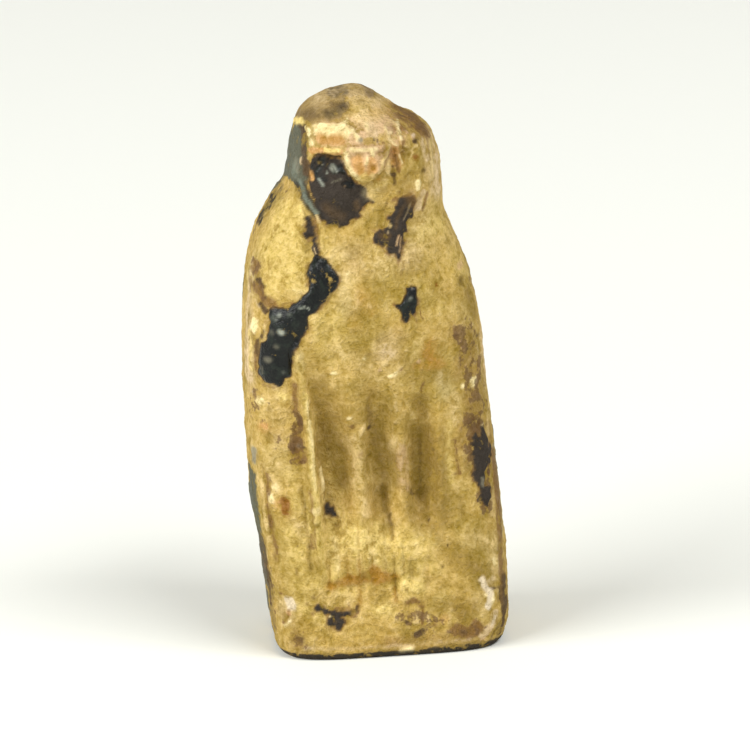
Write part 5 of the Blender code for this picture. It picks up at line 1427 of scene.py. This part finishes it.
# ---- the add-on -------------------------------------------------------------------------------------
class AmuletSizes(bpy.types.PropertyGroup):
    """How fine the surface is, and how deep its wear"""

    rows: bpy.props.IntProperty(
        name="Level sections", description="Sections from the foot to the crown", default=344, min=60)
    columns: bpy.props.IntProperty(
        name="Columns", description="Points round each section", default=264, min=60)
    under_rows: bpy.props.IntProperty(
        name="Underside rings", description="Rings over the underside", default=10, min=3)
    front_density: bpy.props.FloatProperty(
        name="Front density", description="How much closer the columns stand on the front", default=2.5,
        min=1, subtype="FACTOR", max=4)
    relief: bpy.props.FloatProperty(
        name="Wear", description="Depth of pads, chips, lumps and grain, against the real ones", default=1.0,
        min=0, max=2, subtype="FACTOR")


class AmuletFinish(bpy.types.PropertyGroup):
    """Colours and grain of the glazed composition"""

    sand: bpy.props.FloatVectorProperty(
        name="Sandy core", description="Colour of the bare quartz core", default=linear(SAND),
        subtype="COLOR", min=0, max=1)
    grit: bpy.props.FloatProperty(
        name="Grit", description="Size of the quartz grit", default=0.20 * MM, min=0.02 * MM, max=1 * MM,
        precision=5, unit="LENGTH")
    bump: bpy.props.FloatProperty(
        name="Grit depth", description="Strength of the grain in the shading", default=0.80, min=0, max=1,
        subtype="FACTOR")


class StudioSettings(bpy.types.PropertyGroup):
    """Camera angle and lights"""

    azimuth: bpy.props.FloatProperty(
        name="Azimuth", description="Turn of the camera round the amulet", default=math.radians(-4.5),
        subtype="ANGLE")
    elevation: bpy.props.FloatProperty(
        name="Elevation", description="Height of the camera above level", default=math.radians(13),
        subtype="ANGLE")
    distance: bpy.props.FloatProperty(
        name="Distance", description="Distance of the camera", default=0.24, min=0.05, unit="LENGTH")
    left_power: bpy.props.FloatProperty(
        name="Left light", description="Power of the left softbox", default=5.9, min=0, unit="POWER")
    right_power: bpy.props.FloatProperty(
        name="Right light", description="Power of the right softbox", default=4.0, min=0, unit="POWER")
    sky: bpy.props.FloatProperty(
        name="Room light", description="Strength of the even white room light", default=0.32, min=0)


class AMULET_OT_body(bpy.types.Operator):
    """Make the amulet's worn surface with its pierced lug, in place of the plain solid"""

    bl_idname = "amulet.body"
    bl_label = "Amulet"

    def execute(self, context):
        sizes, finish = context.scene.amulet_sizes, context.scene.amulet_finish
        body = body_form(sizes)
        lug = drum_form(LUG_Y, LUG_RADIUS, LUG_HALF, LUG_ROUND, sizes.relief)
        bore = drum_form(BORE_Y, BORE_RADIUS, 3 * LUG_HALF, 0.02, 0)
        mesh = carve(make_mesh("body_form", body[0]), ((make_mesh("lug_form", lug[0]), "UNION"),
                                                       (make_mesh("lug_bore", bore[0]), "DIFFERENCE")))
        keep_patina(mesh, (body, lug, bore))
        mesh.materials.append(glazed_composition(finish))
        made = bpy.data.objects.new("falcon_amulet_surface", mesh)
        context.scene.collection.objects.link(made)
        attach(made, "root")
        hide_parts("falcon_amulet")
        return {"FINISHED"}


class AMULET_OT_stage(bpy.types.Operator):
    """Make the paper floor, two softboxes, the room light and the camera"""

    bl_idname = "amulet.stage"
    bl_label = "Studio"

    def execute(self, context):
        studio = context.scene.amulet_studio
        floor = bpy.data.objects.new("paper_floor", paper_sweep(*PAPER_SHEET))
        floor.data.materials.append(matt_paper())
        context.scene.collection.objects.link(floor)
        target = Vector((0, 0, HEIGHT * MM / 2))
        for name, turn, lift, size, power in (("softbox_left", *LEFT_SOFTBOX, studio.left_power),
                                              ("softbox_right", *RIGHT_SOFTBOX, studio.right_power)):
            soft_light(name, turn, lift, SOFTBOX_DISTANCE, size, power, target)
        world = bpy.data.worlds.new("white_room")
        context.scene.world = world
        world.use_nodes = True
        world.node_tree.nodes["Background"].inputs["Strength"].default_value = studio.sky
        world.node_tree.nodes["Background"].inputs["Color"].default_value = (1.0, 1.0, 1.0, 1.0)
        level, turn = math.cos(studio.elevation), studio.azimuth
        ahead = Vector((-math.sin(turn) * level, math.cos(turn) * level, -math.sin(studio.elevation)))
        lens = bpy.data.cameras.new("camera")
        lens.sensor_width = 36
        lens.lens = LENS_PER_METRE * studio.distance
        lens.shift_x, lens.shift_y = CAMERA_SHIFT
        camera = bpy.data.objects.new("camera", lens)
        aim = ahead.to_track_quat("-Z", "Y").to_matrix().to_4x4()
        roll = Matrix.Rotation(CAMERA_ROLL, 4, "Z")
        camera.matrix_world = Matrix.Translation(target - studio.distance * ahead) @ aim @ roll
        context.scene.collection.objects.link(camera)
        context.scene.camera = camera
        context.scene.view_settings.view_transform = "Standard"
        return {"FINISHED"}


class AMULET_PT_panel(bpy.types.Panel):
    """Lists the sizes, the finish and the operators"""

    bl_label = "Falcon Amulet"
    bl_space_type = "VIEW_3D"
    bl_region_type = "UI"
    bl_category = "Amulet"

    def draw(self, context):
        for group in (context.scene.amulet_sizes, context.scene.amulet_finish, context.scene.amulet_studio):
            box = self.layout.box()
            for name in group.__annotations__:
                box.prop(group, name)
        for operator in (AMULET_OT_body, AMULET_OT_stage):
            self.layout.operator(operator.bl_idname)


CLASSES = (AmuletSizes, AmuletFinish, StudioSettings, AMULET_OT_body, AMULET_OT_stage, AMULET_PT_panel)


def register():
    """Registers the classes, and the settings on the scene."""
    for item in CLASSES:
        bpy.utils.register_class(item)
    bpy.types.Scene.amulet_sizes = bpy.props.PointerProperty(type=AmuletSizes)
    bpy.types.Scene.amulet_finish = bpy.props.PointerProperty(type=AmuletFinish)
    bpy.types.Scene.amulet_studio = bpy.props.PointerProperty(type=StudioSettings)


def unregister():
    """Takes the settings and the classes away again."""
    del bpy.types.Scene.amulet_sizes
    del bpy.types.Scene.amulet_finish
    del bpy.types.Scene.amulet_studio
    for item in reversed(CLASSES):
        bpy.utils.unregister_class(item)


def main():
    """Registers the add-on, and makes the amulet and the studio."""
    register()
    bpy.ops.amulet.body()
    bpy.ops.amulet.stage()


if __name__ == "__main__":
    main()
